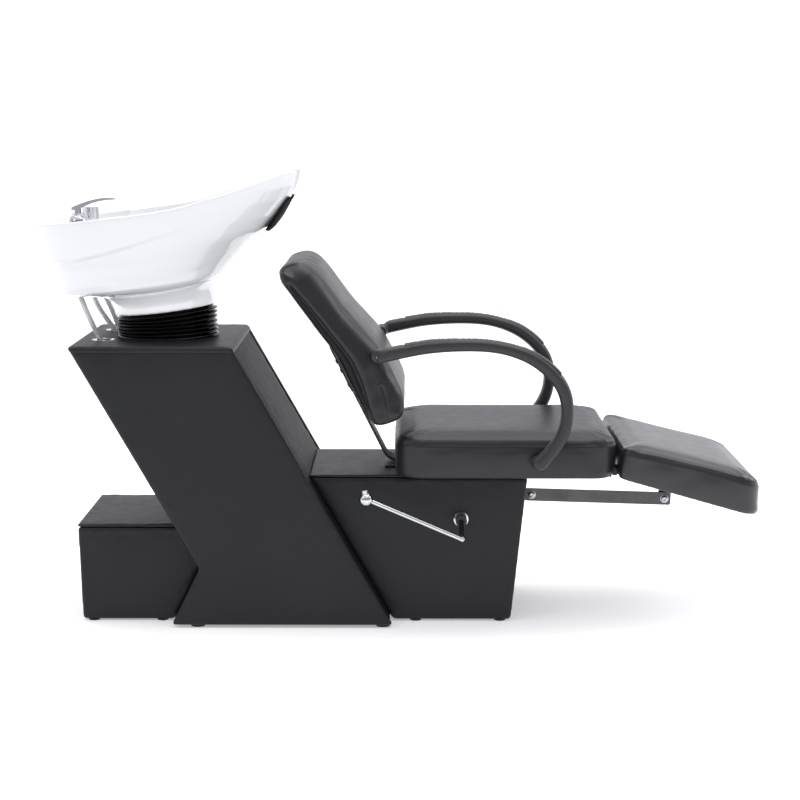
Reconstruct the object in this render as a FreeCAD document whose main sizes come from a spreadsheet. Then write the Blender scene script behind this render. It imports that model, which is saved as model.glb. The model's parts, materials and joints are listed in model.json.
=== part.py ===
import FreeCAD, Part
import math
import os
import Sketcher

# Backwash unit: a leaning upholstered pedestal with a tilting ceramic basin,
# two low boxes, a fixed armchair on the front box and a raised leg rest that
# is held by a crank and link behind a side lever.
# Frame: millimetres, +Z up, +X towards the sitter's feet, +Y the sitter's left,
# origin on the floor under the middle of the whole unit.

V = FreeCAD.Vector
doc = FreeCAD.newDocument("backwash_unit")
sheet = doc.addObject("Spreadsheet::Sheet", "dims")
sheet.Label = "dims"
row = [0]


class Q:
    """A number with the sheet expression that gives it."""

    def __init__(self, v, e):
        self.v, self.e = float(v), e

    def _b(self, o, op, f):
        o = o if isinstance(o, Q) else Q(o, "%.6g" % o)
        return Q(f(self.v, o.v), "(%s %s %s)" % (self.e, op, o.e))

    def __add__(self, o):
        return self._b(o, "+", lambda a, b: a + b)

    def __sub__(self, o):
        return self._b(o, "-", lambda a, b: a - b)

    def __mul__(self, o):
        return self._b(o, "*", lambda a, b: a * b)

    def __truediv__(self, o):
        return self._b(o, "/", lambda a, b: a / b)

    def __neg__(self):
        return Q(-self.v, "(0 - %s)" % self.e)


def dim(alias, value, note=""):
    row[0] += 1
    r = str(row[0])
    sheet.set("A" + r, note or alias.replace("_", " "))
    sheet.set("B" + r, "%.6g" % value)
    sheet.setAlias("B" + r, alias)
    return Q(value, "dims." + alias)


def q(x):
    return x if isinstance(x, Q) else Q(x, "%.6g" % x)


def read(x):
    """The value that the sheet holds for a dimension."""
    return float(sheet.get(x.e.split(".", 1)[1]))


# ---------------------------------------------------------------- dimensions
ped_hw = dim("pedestal_half_width", 226)
panel_t = dim("pedestal_side_thickness", 20)
board_t = dim("pedestal_board_thickness", 18)
ped_top = dim("pedestal_top_height", 650)
ped_bot = dim("pedestal_bottom_height", 6)
ped_rt = dim("pedestal_rear_top_x", -724)
ped_ft = dim("pedestal_front_top_x", -356)
ped_fb = dim("pedestal_front_bottom_x", 8)
ped_rb = dim("pedestal_rear_bottom_x", -501)
ped_vx = dim("pedestal_vertex_x", -435)
ped_vz = dim("pedestal_vertex_height", 139)
reveal = dim("pedestal_panel_reveal", 3)
bell_x = dim("bellows_centre_x", -523)
bell_r = dim("bellows_radius", 116)
drain_x = dim("drain_x", -585)
grom_x = dim("grommet_x", -661)
grom_y = dim("grommet_y", 97)
grom_r = dim("grommet_radius", 27)
waste_z = dim("waste_height", 45)

box_hw = dim("box_half_width", 165)
box_t = dim("box_side_thickness", 15)
box_bot = dim("box_bottom_height", 4)
rb_x = dim("rear_box_rear_x", -719)
rb_top = dim("rear_box_top_height", 228)
fb_top = dim("front_box_top_height", 346)
fb_xt = dim("front_box_front_top_x", 315)
fb_xb = dim("front_box_front_bottom_x", 280)
slot_hw = dim("lift_slot_half_width", 32)
slot_lo = dim("lift_slot_bottom", 70)
slot_hi = dim("lift_slot_top", 290)

seat_x0 = dim("seat_rear_x", 11)
seat_x1 = dim("seat_front_x", 511)
seat_hw = dim("seat_half_width", 237)
seat_z0 = dim("seat_bottom_height", 361.5)
seat_z1 = dim("seat_top_height", 446)
seat_r = dim("seat_corner_radius", 70)
frame_in = dim("seat_frame_inset", 12)
frame_hi = dim("seat_frame_height", 40)

back_hw = dim("backrest_half_width", 225)
arm_y0 = dim("armrest_inner_y", 243)
arm_y1 = dim("armrest_outer_y", 288)
arm_bx = dim("armrest_back_boss_x", -24)
arm_bz = dim("armrest_back_boss_height", 632)
arm_sx = dim("armrest_seat_boss_x", 331)
arm_sz = dim("armrest_seat_boss_height", 393)

lev_x = dim("lever_pivot_x", 164.4)
lev_z = dim("lever_pivot_height", 243.3)
crank_px = dim("crank_pin_x", 336.5)
crank_pz = dim("crank_pin_height", 269.5)
link_bx = dim("link_leg_pin_x", 653)
link_bz = dim("link_leg_pin_height", 260)
shaft_r = dim("lever_shaft_radius", 8)
hin_x = dim("leg_hinge_x", 515)
hin_z = dim("leg_hinge_height", 357)
knuck_r = dim("leg_hinge_knuckle_radius", 8)
hpin_r = dim("leg_hinge_pin_radius", 4)
leg_hw = dim("leg_rest_half_width", 237)

tilt_x = dim("basin_tilt_x", -475)
tilt_z = dim("basin_tilt_height", 690)
tpin_r = dim("basin_tilt_pin_radius", 5)
deck_z = dim("basin_deck_height", 893)
mix_x = dim("mixer_x", -730)
spray_x = dim("spray_x", -716)
spray_y = dim("spray_y", 88)
hose_r = dim("supply_hose_radius", 6)
wall = dim("basin_wall", 14)
doc.recompute()


# ---------------------------------------------------------------- helpers
NODES = []


def keep(obj, label):
    obj.Label = label
    NODES.append(obj)
    return obj


def plane_of(body, role):
    return [f for f in body.Origin.OriginFeatures if f.Role == role][0]


def sketch_poly(body, name, role, loops):
    sk = body.newObject("Sketcher::SketchObject", name)
    sk.AttachmentSupport = [(plane_of(body, role), "")]
    sk.MapMode = "FlatFace"
    for loop in loops:
        loop = [(q(a), q(b)) for a, b in loop]
        n, g0 = len(loop), sk.GeometryCount
        for i in range(n):
            a, c = loop[i], loop[(i + 1) % n]
            sk.addGeometry(Part.LineSegment(V(a[0].v, a[1].v, 0), V(c[0].v, c[1].v, 0)), False)
        for i in range(n):
            sk.addConstraint(Sketcher.Constraint("Coincident", g0 + i, 2, g0 + (i + 1) % n, 1))
        for i, (a, b) in enumerate(loop):
            for kind, val in (("DistanceX", a), ("DistanceY", b)):
                if abs(val.v) < 1e-9:
                    sk.addConstraint(Sketcher.Constraint("PointOnObject", g0 + i, 1, -2 if kind == "DistanceX" else -1))
                    continue
                k = sk.addConstraint(Sketcher.Constraint(kind, -1, 1, g0 + i, 1, val.v))
                if "dims." in val.e:
                    nm = "%s%d" % (kind[-1].lower(), g0 + i)
                    sk.renameConstraint(k, nm)
                    sk.setExpression("Constraints." + nm, val.e)
    return sk


def prism(name, pts, y0, y1, holes=(), role="XZ_Plane", label=None):
    """A board or bar: a profile in the XZ plane carried from y0 to y1."""
    y0, y1 = q(y0), q(y1)
    body = doc.addObject("PartDesign::Body", name)
    sk = sketch_poly(body, name + "_profile", role, [pts] + list(holes))
    pad = body.newObject("PartDesign::Pad", name + "_pad")
    pad.Profile = sk
    pad.Length = y1.v - y0.v
    pad.setExpression("Length", (y1 - y0).e)
    body.Placement.Base = V(0, y1.v, 0)
    body.setExpression("Placement.Base.y", y1.e)
    doc.recompute()
    if label:
        keep(body, label)
    return body


def slab(name, pts, z0, z1, label=None, holes=()):
    """A flat board: a plan outline carried from z0 to z1."""
    z0, z1 = q(z0), q(z1)
    body = doc.addObject("PartDesign::Body", name)
    sk = sketch_poly(body, name + "_plan", "XY_Plane", [pts] + list(holes))
    pad = body.newObject("PartDesign::Pad", name + "_pad")
    pad.Profile = sk
    pad.Length = z1.v - z0.v
    pad.setExpression("Length", (z1 - z0).e)
    body.Placement.Base = V(0, 0, z0.v)
    body.setExpression("Placement.Base.z", z0.e)
    doc.recompute()
    if label:
        keep(body, label)
    return body


def rounded_slab(name, x0, x1, hw, z0, z1, r, label=None):
    """A plan rectangle with rounded corners, carried from z0 to z1."""
    body = slab(name, [(x0, -hw), (x1, -hw), (x1, hw), (x0, hw)], z0, z1)
    pad = body.Tip
    edges = []
    for i, e in enumerate(pad.Shape.Edges):
        a, b = e.Vertexes[0].Point, e.Vertexes[-1].Point
        if abs(a.z - b.z) > 1 and abs(a.x - b.x) < 1e-6 and abs(a.y - b.y) < 1e-6:
            edges.append("Edge%d" % (i + 1))
    f = body.newObject("PartDesign::Fillet", name + "_corners")
    f.Base = (pad, edges)
    f.Radius = q(r).v
    f.setExpression("Radius", q(r).e)
    doc.recompute()
    if label:
        keep(body, label)
    return body


def bind(obj, prop, val):
    val = q(val)
    if "dims." in val.e:
        obj.setExpression(prop, val.e)
    return val.v


def box(name, x0, x1, y0, y1, z0, z1, label=None):
    b = doc.addObject("Part::Box", name)
    x0, x1, y0, y1, z0, z1 = [q(i) for i in (x0, x1, y0, y1, z0, z1)]
    b.Length, b.Width, b.Height = x1.v - x0.v, y1.v - y0.v, z1.v - z0.v
    b.Placement.Base = V(x0.v, y0.v, z0.v)
    for prop, val in (("Length", x1 - x0), ("Width", y1 - y0), ("Height", z1 - z0),
                      ("Placement.Base.x", x0), ("Placement.Base.y", y0), ("Placement.Base.z", z0)):
        bind(b, prop, val)
    if label:
        keep(b, label)
    return b


def cyl(name, r, x, y, z, length, axis="z", label=None):
    """A cylinder from (x, y, z) along +axis."""
    c = doc.addObject("Part::Cylinder", name)
    r, x, y, z, length = [q(i) for i in (r, x, y, z, length)]
    c.Radius, c.Height = r.v, length.v
    rot = {"z": FreeCAD.Rotation(), "y": FreeCAD.Rotation(V(1, 0, 0), -90), "x": FreeCAD.Rotation(V(0, 1, 0), 90)}[axis]
    c.Placement = FreeCAD.Placement(V(x.v, y.v, z.v), rot)
    for prop, val in (("Radius", r), ("Height", length), ("Placement.Base.x", x), ("Placement.Base.y", y), ("Placement.Base.z", z)):
        bind(c, prop, val)
    if label:
        keep(c, label)
    return c


def cut(name, base, tool, label=None):
    c = doc.addObject("Part::Cut", name)
    c.Base, c.Tool = base, tool
    if label:
        keep(c, label)
    return c


def fuse(name, parts, label=None):
    c = doc.addObject("Part::MultiFuse", name)
    c.Shapes = parts
    if label:
        keep(c, label)
    return c


def group(label, parts):
    c = doc.addObject("Part::Compound", label)
    c.Links = parts
    keep(c, label)
    return c


def made(label, shape, at=None):
    """A sub-part whose shape is built from the sheet's sizes in this file."""
    f = doc.addObject("Part::Feature", label)
    f.Shape = shape
    f.Placement = FreeCAD.Placement(at or V(0, 0, 0), FreeCAD.Rotation())
    keep(f, label)
    return f


def tube_path(points, tight=0.45):
    """Straight runs joined by tangent arcs; prints the arc radii."""
    pts = [V(*p) for p in points]
    edges, cur, radii = [], pts[0], []
    for i in range(1, len(pts) - 1):
        a, b, c = pts[i - 1], pts[i], pts[i + 1]
        d1, d2 = (b - a), (c - b)
        l1, l2 = d1.Length, d2.Length
        d1.normalize()
        d2.normalize()
        turn = math.acos(max(-1.0, min(1.0, d1.dot(d2))))
        t = tight * min(l1, l2)
        radii.append(t / math.tan(turn / 2))
        p, r = b - d1 * t, b + d2 * t
        bis = (d2 - d1)
        bis.normalize()
        centre = b + bis * (radii[-1] / math.cos(turn / 2))
        mid = centre - bis * radii[-1]
        edges.append(Part.LineSegment(cur, p).toShape())
        edges.append(Part.Arc(p, mid, r).toShape())
        cur = r
    edges.append(Part.LineSegment(cur, pts[-1]).toShape())
    return Part.Wire(edges), radii


def tube(points, r, inner=0.0):
    wire, radii = tube_path(points)
    d = V(*points[1]) - V(*points[0])
    ring = Part.Wire(Part.makeCircle(r, V(*points[0]), d))
    solid = wire.makePipeShell([ring], True, False)
    want = math.pi * r * r * wire.Length
    print("tube length %.0f radii %s volume share %.3f" % (wire.Length, ["%.0f" % i for i in radii], solid.Volume / want))
    if inner:
        ring = Part.Wire(Part.makeCircle(inner, V(*points[0]), d))
        solid = solid.cut(wire.makePipeShell([ring], True, False))
    return solid


def bar(a, b, w, y0, y1):
    """A flat bar with round ends between two points of the XZ plane."""
    d = V(b[0] - a[0], 0, b[1] - a[1])
    length = d.Length
    d.normalize()
    n = V(-d.z, 0, d.x) * (w / 2)
    A, B = V(a[0], y0, a[1]), V(b[0], y0, b[1])
    e = [Part.LineSegment(A + n, B + n).toShape(), Part.Arc(B + n, B + d * (w / 2), B - n).toShape(),
         Part.LineSegment(B - n, A - n).toShape(), Part.Arc(A - n, A - d * (w / 2), A + n).toShape()]
    return Part.Face(Part.Wire(e)).extrude(V(0, y1 - y0, 0))


def ycyl(r, x, z, y0, y1):
    return Part.makeCylinder(r, y1 - y0, V(x, y0, z), V(0, 1, 0))


def square_bar(a, b, w, over, y0, y1):
    """A flat bar with square ends, the corners a little rounded, between two points of the XZ plane."""
    d = V(b[0] - a[0], 0, b[1] - a[1])
    d.normalize()
    n = V(-d.z, 0, d.x) * (w / 2)
    A, B = V(a[0], y0, a[1]) - d * over, V(b[0], y0, b[1]) + d * over
    s = Part.Face(Part.makePolygon([A + n, B + n, B - n, A - n, A + n])).extrude(V(0, y1 - y0, 0))
    return s.makeFillet(5.0, [e for e in s.Edges if abs(e.Vertexes[0].Point.y - e.Vertexes[-1].Point.y) > 1])


# ---------------------------------------------------------------- pedestal
front_m = (ped_fb - ped_ft) / (ped_top - ped_bot)      # lean of the front face
rear_m = (ped_vx - ped_rt) / (ped_top - ped_vz)        # lean of the rear face
low_m = (ped_vx - ped_rb) / (ped_vz - ped_bot)         # undercut below the vertex


def fx(z, inset=0.0):
    """Front face of the pedestal's inner boards at height z."""
    return ped_ft + (ped_top - z) * front_m - (reveal * 1.149) - inset * 1.149


def rx(z, inset=0.0):
    """Rear sloped face of the inner boards at height z."""
    return ped_rt + (ped_top - z) * rear_m + (reveal * 1.141) + inset * 1.141


def lx(z, inset=0.0):
    """Rear lower face of the inner boards at height z."""
    return ped_vx - (ped_vz - z) * low_m + (reveal * 1.116) + inset * 1.116


outline = [(ped_rt, ped_top), (ped_vx, ped_vz), (ped_rb, ped_bot), (ped_fb, ped_bot), (ped_ft, ped_top)]


def side_panel(name, y0, y1, outer):
    body = prism(name, outline, y0, y1)
    pad = body.Tip
    edges = []
    yo = outer - body.Placement.Base.y
    for i, e in enumerate(pad.Shape.Edges):
        ys = [v.Point.y for v in e.Vertexes]
        if all(abs(y - yo) < 1e-6 for y in ys):
            edges.append("Edge%d" % (i + 1))
    f = body.newObject("PartDesign::Fillet", name + "_round")
    f.Base = (pad, edges)
    f.Radius = 5
    f.setExpression("Radius", "dims.pedestal_side_thickness / 4")
    doc.recompute()
    keep(body, name)
    return body


side_panel("pedestal_right_panel", -ped_hw, -ped_hw + panel_t, -read(ped_hw))
side_panel("pedestal_left_panel", ped_hw - panel_t, ped_hw, read(ped_hw))

in_hw = ped_hw - panel_t - 0.3
top_z1 = ped_top - 2.0
top_z0 = top_z1 - board_t
tb = prism("top_board_blank", [(rx(top_z1), top_z1), (rx(top_z0), top_z0), (fx(top_z0), top_z0), (fx(top_z1), top_z1)], -in_hw, in_hw)
holes = fuse("top_board_holes", [
    cyl("top_hole_waste", 52, -566, 0, top_z0 - 10, 50),
    cyl("top_hole_right", 18, grom_x, -grom_y, top_z0 - 10, 50),
    cyl("top_hole_left", 18, grom_x, grom_y, top_z0 - 10, 50)])
cut("top_board", tb, holes, "pedestal_top_board")

z_a = top_z0 - 0.4
prism("pedestal_front_panel", [(fx(z_a), z_a), (fx(ped_bot + 1), ped_bot + 1), (fx(ped_bot + 1, 18), ped_bot + 1), (fx(z_a, 18), z_a)],
      -in_hw, in_hw, label="pedestal_front_panel")
z_b = ped_vz + 3.0
prism("pedestal_rear_panel", [(rx(z_a), z_a), (rx(z_b), z_b), (rx(z_b, 18), z_b), (rx(z_a, 18), z_a)], -in_hw, in_hw, label="pedestal_rear_panel")
z_c = ped_vz - 2.0
rl = prism("rear_low_blank", [(lx(z_c), z_c), (lx(ped_bot + 1), ped_bot + 1), (lx(ped_bot + 1, 18), ped_bot + 1), (lx(z_c, 18), z_c)], -in_hw, in_hw)
cut("rear_low_cut", rl, cyl("rear_low_hole", 36, -520, 0, waste_z + 30, 120, "x"), "pedestal_rear_lower_panel")
base_b = prism("pedestal_base_board", [(lx(ped_bot + 19, 18) + 1, ped_bot + 19), (lx(ped_bot + 1, 18) + 1, ped_bot + 1),
                                       (fx(ped_bot + 1, 18) - 1, ped_bot + 1), (fx(ped_bot + 19, 18) - 1, ped_bot + 19)],
               -in_hw, in_hw, label="pedestal_base_board")

# chrome rings where the hoses enter the top board
def grommet(nm, y):
    outer = cyl("grommet_ring_" + nm, grom_r, grom_x, y, top_z1 + 0.2, 3.2)
    neck = cyl("grommet_neck_" + nm, 17.6, grom_x, y, top_z1 - 12, 13)
    hole = cyl("grommet_hole_" + nm, 15.5, grom_x, y, top_z1 - 14, 24)
    return cut("grommet_" + nm, fuse("grommet_body_" + nm, [outer, neck]), hole)


group("hose_grommets", [grommet("right", -grom_y), grommet("left", grom_y)])

# ---------------------------------------------------------------- rear box
rb_b = box_bot
rear_side = [(rb_x, rb_top), (rb_x + 6, rb_b), (lx(rb_b) - 1.5, rb_b), (ped_vx + 1.6, ped_vz + 1), (rx(rb_top) - 1.5, rb_top)]
group("rear_box_sides", [prism("rear_side_right", rear_side, -box_hw, -box_hw + box_t), prism("rear_side_left", rear_side, box_hw - box_t, box_hw)])
bi = box_hw - box_t - 0.3
lid_z = rb_top - 16.0
prism("rear_box_lid", [(rb_x + 0.5, rb_top), (rb_x + 0.9, lid_z), (rx(lid_z) - 1.5, lid_z), (rx(rb_top) - 1.5, rb_top)], -bi, bi, label="rear_box_lid")
bp_blank = prism("rear_box_back_blank", [(rb_x + 0.9, lid_z - 0.4), (rb_x + 6.5, rb_b), (rb_x + 22.5, rb_b), (rb_x + 16.9, lid_z - 0.4)], -bi, bi)
cut("rear_box_back_cut", bp_blank, box("service_notch", rb_x - 20, rb_x + 40, -80, 80, rb_b - 10, rb_b + 84), "rear_box_back_panel")

# ---------------------------------------------------------------- front box
slope = (fb_xt - fb_xb) / (fb_top - box_bot)


def bx(z, inset=0.0):
    return fb_xt - (fb_top - z) * slope - inset


fside = [(fx(fb_top) + 1, fb_top), (fx(box_bot) + 1, box_bot), (fb_xb, box_bot), (fb_xt, fb_top)]
fr = prism("front_right_blank", fside, -box_hw, -box_hw + box_t)
group("front_box_sides", [cut("front_right_cut", fr, cyl("lever_hole", shaft_r + 4.2, lev_x, -box_hw - 10, lev_z, 40, "y")),
                          prism("front_left_side", fside, box_hw - box_t, box_hw)])
lid2 = fb_top - 16.0
prism("front_box_lid", [(fx(fb_top) + 1, fb_top), (fx(lid2) + 1, lid2), (bx(lid2, 0.6), lid2), (bx(fb_top, 0.6), fb_top)], -bi, bi, label="front_box_lid")
l3 = lid2 - 0.4
fp = prism("front_panel_blank", [(bx(l3, 0.6), l3), (bx(l3, 16.6), l3), (bx(box_bot, 16.6), box_bot), (bx(box_bot, 0.6), box_bot)], -bi, bi)
cut("front_panel_cut", fp, box("lift_slot", 240, 340, -slot_hw, slot_hw, slot_lo, slot_hi), "front_box_front_panel")
prism("front_box_floor", [(fx(22) + 1.2, 22), (fx(8) + 1.2, 8), (bx(8, 17), 8), (bx(22, 17), 22)], -bi, bi, label="front_box_floor")

# rubber glides under the three carcasses
gl = []
for i, (gx, gy, gh) in enumerate([(-442, 200, 6), (-15, 200, 6), (-690, 138, 4), (-530, 138, 4), (60, 138, 4), (256, 138, 4)]):
    for s in (-1, 1):
        if gh == 6:
            gl.append(cyl("glide_%d_%d" % (i, s + 1), 16, gx, s * gy, 0, ped_bot - 0.0))
        else:
            gl.append(cyl("glide_%d_%d" % (i, s + 1), 13, gx, s * (gy + 12), 0, box_bot))
group("floor_glides", gl)

# ---------------------------------------------------------------- seat
zp = fb_top + 0.3
box("seat_mounting_plate", -12, 300, -70, 70, zp, zp + 4, "seat_mounting_plate")
group("seat_rails", [box("rail_right", 22, 398, -92, -62, zp + 4.2, seat_z0 - 0.2), box("rail_left", 22, 398, 62, 92, zp + 4.2, seat_z0 - 0.2)])
fb0 = rounded_slab("seat_frame_blank", seat_x0 + frame_in, seat_x1 - frame_in, seat_hw - frame_in, seat_z0, seat_z0 + frame_hi, seat_r - frame_in)
fr2 = cut("seat_frame_open", fb0, box("seat_frame_window", 110, 400, -150, 150, seat_z0 - 5, seat_z0 + frame_hi + 5))
frame_holes = fuse("seat_frame_holes", [cyl("sfh_r", 4.3, arm_sx, -232, arm_sz, 40, "y"), cyl("sfh_l", 4.3, arm_sx, 192, arm_sz, 40, "y")])
cut("seat_frame_cut", fr2, frame_holes, "seat_frame")
cb = rounded_slab("seat_cushion_blank", seat_x0, seat_x1, seat_hw, seat_z0, seat_z1, seat_r)
pocket = rounded_slab("seat_pocket", seat_x0 + frame_in - 0.3, seat_x1 - frame_in + 0.3, seat_hw - frame_in + 0.3, seat_z0 - 5, seat_z0 + frame_hi + 0.3, seat_r - frame_in)
c1 = cut("seat_cushion_open", cb, fuse("seat_cushion_room", [pocket, cyl("seat_hinge_relief", 9.5, hin_x, -190, hin_z, 380, "y")]))
cut("seat_cushion_cut", c1, fuse("seat_cushion_holes", [cyl("sch_r", 7, arm_sx, -242, arm_sz, 30, "y"), cyl("sch_l", 7, arm_sx, 212, arm_sz, 30, "y")]), "seat_cushion")
hp = box("hinge_plate_flat", 404, seat_x1 - 6, -205, 205, hin_z - 6, seat_z0 - 0.4)

# ---------------------------------------------------------------- backrest
back_out = [(-256, 820), (-246, 800), (-210, 749), (-160, 681), (-128, 641), (-111, 612), (-88, 563), (-70, 528), (-47, 484), (-38, 470), (-24, 466),
            (30, 484), (38, 498), (35, 535), (6, 594), (-12, 633), (-34, 662), (-59, 690), (-91, 726), (-124, 771), (-147, 803), (-170, 829),
            (-186, 839), (-208, 840), (-245, 829)]
bc = prism("backrest_cushion_blank", back_out, -back_hw, back_hw)
# plywood frame board inside the cushion, near its back
u = V(0.4472, 0, -0.8944)        # down along the back
nb = V(-0.8944, 0, -0.4472)      # out of the back


def bpt(s, t):
    """A point s mm down the back line from its top reference and t mm behind it."""
    p = V(-144, 0, 678) + u * s + nb * t
    return (p.x, p.z)


frame_pts = [bpt(-20, -6), bpt(190, -6), bpt(190, -24), bpt(-20, -24)]
pocket_pts = [bpt(-20.4, -5.6), bpt(190.4, -5.6), bpt(190.4, -24.4), bpt(-20.4, -24.4)]
bfr = prism("backrest_frame_board", frame_pts, -190, 190)
bpk = prism("backrest_pocket", pocket_pts, -190.4, 190.4)
# flat steel straps on the frame's edges, forward to the armrest bolts
sx, sz = read(arm_bx), read(arm_bz)


def strap(y0, y1, grow=0.0):
    s = (V(sx, 0, sz) - V(-144, 0, 678)).dot(u)
    a = bpt(s, -15)
    return bar(a, (sx, sz), 16 + 2 * grow, y0, y1)


straps = [strap(-195.3, -190.3).cut(ycyl(4.3, sx, sz, -230, -180)), strap(190.3, 195.3).cut(ycyl(4.3, sx, sz, 180, 230))]
straps_pocket = strap(-195.7, -190.0, 0.5).fuse(strap(190.0, 195.7, 0.5))
strap_f = doc.addObject("Part::Feature", "backrest_straps")
strap_f.Shape = Part.makeCompound(straps)
group("backrest_frame", [bfr, strap_f])
bolt_room = ycyl(7, sx, sz, -240, -184).fuse(ycyl(7, sx, sz, 184, 240))
spk = doc.addObject("Part::Feature", "backrest_strap_pocket")
spk.Shape = straps_pocket.fuse(bolt_room)
through = fuse("backrest_tools", [bpk, spk, cyl("back_bolt_a", 5, -150, -4, 600, 60, "x"), cyl("back_bolt_b", 5, -120, -4, 540, 60, "x")])
cut("backrest_cushion_cut", bc, fuse("backrest_tools_only", [bpk, spk]), "backrest_cushion")
# padded cover panel on the back, which the steel bar is bolted to
prism("backrest_rear_panel", [bpt(20, 7.4), bpt(25, 12.5), bpt(40, 15), bpt(150, 15), bpt(168, 5), bpt(168, 1.8), bpt(128, 1.9), bpt(74, 0.7), bpt(41, 2.9), bpt(20, 6.8)],
      -150, 150, label="backrest_rear_panel")

# L-shaped flat bar that carries the backrest from under the seat
def bar_path(points, thick, hw):
    """A bent flat bar from a centre line in the XZ plane."""
    wire, radii = tube_path([(p[0], 0, p[1]) for p in points], 0.3)
    d = V(points[1][0] - points[0][0], 0, points[1][1] - points[0][1])
    d.normalize()
    n = V(-d.z, 0, d.x) * (thick / 2)
    c = V(points[0][0], 0, points[0][1])
    y = V(0, hw, 0)
    ring = Part.makePolygon([c + n + y, c + n - y, c - n - y, c - n + y, c + n + y])
    return wire.makePipeShell([ring], True, True)


top_bar = bpt(72, 18.8)
end_bar = bpt(345, 18.8)
zb = read(fb_top) + 0.3 + 4 + 0.3 + 3.2
made("back_bracket", bar_path([top_bar, bpt(349, 18.8), (60.0, zb), (200.0, zb)], 6.0, 30.0))
bolts = []
for i, s in enumerate((88, 112, 150)):
    a = bpt(s, 22.1)
    for y in (-16.0, 16.0):
        head = Part.makeCylinder(7.5, 4.5, V(a[0], y, a[1]), nb)
        bolts.append(head)
made("back_bracket_bolts", Part.makeCompound(bolts))

# ---------------------------------------------------------------- armrests
arm_out = [(-3, 655), (51, 665), (97, 672), (175, 674), (223, 672), (270, 663), (323, 645), (372, 609), (402, 567), (411, 526), (410, 492), (399, 449), (375, 413), (352, 385)]
arm_in = [(-17, 620), (26, 630), (75, 640), (122, 645), (175, 647), (224, 645), (266, 637), (310, 619), (344, 594), (368, 567), (381, 538), (384, 509), (380, 481), (367, 452), (346, 424), (322, 402)]


def arm_shape(y0, y1):
    so, si = Part.BSplineCurve(), Part.BSplineCurve()
    so.interpolate([V(x, y0, z) for x, z in arm_out])
    si.interpolate([V(x, y0, z) for x, z in arm_in[::-1]])
    e1, e2 = so.toShape(), si.toShape()
    a, b = V(arm_out[-1][0], y0, arm_out[-1][1]), V(arm_in[-1][0], y0, arm_in[-1][1])
    c, d = V(arm_in[0][0], y0, arm_in[0][1]), V(arm_out[0][0], y0, arm_out[0][1])
    w = Part.Wire([e1, Part.Arc(a, V(326, y0, 378), b).toShape(), e2, Part.Arc(c, V(-36, y0, 644), d).toShape()])
    s = Part.Face(w).extrude(V(0, y1 - y0, 0))
    try:
        ed = [e for e in s.Edges if abs(abs(e.CenterOfMass.y) - read(arm_y1)) < 0.5 and all(abs(abs(v.Point.y) - read(arm_y1)) < 1e-6 for v in e.Vertexes)]
        f = s.makeFillet(6.0, ed)
        if f.isValid() and f.Volume > 0.8 * s.Volume:
            s = f
    except Exception:
        print("armrest fillet left out")
    return s


def armrest(side):
    y0, y1 = read(arm_y0), read(arm_y1)
    s = arm_shape(-y1, -y0) if side < 0 else arm_shape(y0, y1)
    px, pz = read(arm_sx), read(arm_sz)
    for x, z, h0 in ((sx, sz, read(back_hw) + 0.3), (px, pz, read(seat_hw) + 0.3)):
        s = s.fuse(ycyl(13, x, z, -y0 - 8, -h0) if side < 0 else ycyl(13, x, z, h0, y0 + 8))
    for x, z in ((sx, sz), (px, pz)):
        s = s.cut(ycyl(4.3, x, z, -(y1 - 15), -y0 + 22) if side < 0 else ycyl(4.3, x, z, y0 - 22, y1 - 15))
    return s.removeSplitter()


made("armrest_right", armrest(-1))
made("armrest_left", armrest(1))
group("armrest_bolts", [cyl("ab_br", 4, arm_bx, -arm_y1 + 15.5, arm_bz, 86, "y"), cyl("ab_bl", 4, arm_bx, arm_y1 - 101.5, arm_bz, 86, "y"),
                        cyl("ab_sr", 4, arm_sx, -arm_y1 + 15.5, arm_sz, 60, "y"), cyl("ab_sl", 4, arm_sx, arm_y1 - 75.5, arm_sz, 60, "y")])

# ---------------------------------------------------------------- leg rest
dv = V(822 - 524, 0, 274.5 - 366)
dv.normalize()
dn = V(dv.z, 0, -dv.x)          # down out of the underside


def lpt(s, t):
    p = V(524, 0, 366) + dv * s + dn * t
    return (p.x, p.z)


lb = prism("leg_cushion_blank", [(524, 363), (521.5, 376), (527, 414), (532, 423), (542, 426.5), (588, 419), (632, 409.5), (690, 396), (745, 381.5), (806, 362.5), (825, 354.5),
                                   (836.5, 342), (842, 322), (841, 300), (835, 281), (828, 272), (817, 267.6), (536, 348.6), (528, 353)],
           -leg_hw, leg_hw)
lpk = prism("leg_board_pocket", [lpt(18.6, -1.5), lpt(288.4, -1.5), lpt(288.4, -17.4), lpt(18.6, -17.4)], -218.4, 218.4)
lpk2 = prism("leg_board_mouth", [lpt(30, 18), lpt(276, 18), lpt(276, -3), lpt(30, -3)], -205, 205)
# notches in the cushion's rear edge where the hinge leaves come out
lpk3 = [prism("leaf_notch_" + nm, [lpt(-14, 18), lpt(32, 18), lpt(32, -3), lpt(-14, -3)], a, b) for nm, a, b in (("right", -184, -116), ("left", 116, 184))]
cut("leg_cushion_cut", lb, fuse("leg_pockets", [lpk, lpk2] + lpk3), "leg_rest_cushion")
prism("leg_rest_board", [lpt(19, -1.9), lpt(288, -1.9), lpt(288, -17), lpt(19, -17)], -218, 218, label="leg_rest_board")

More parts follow.
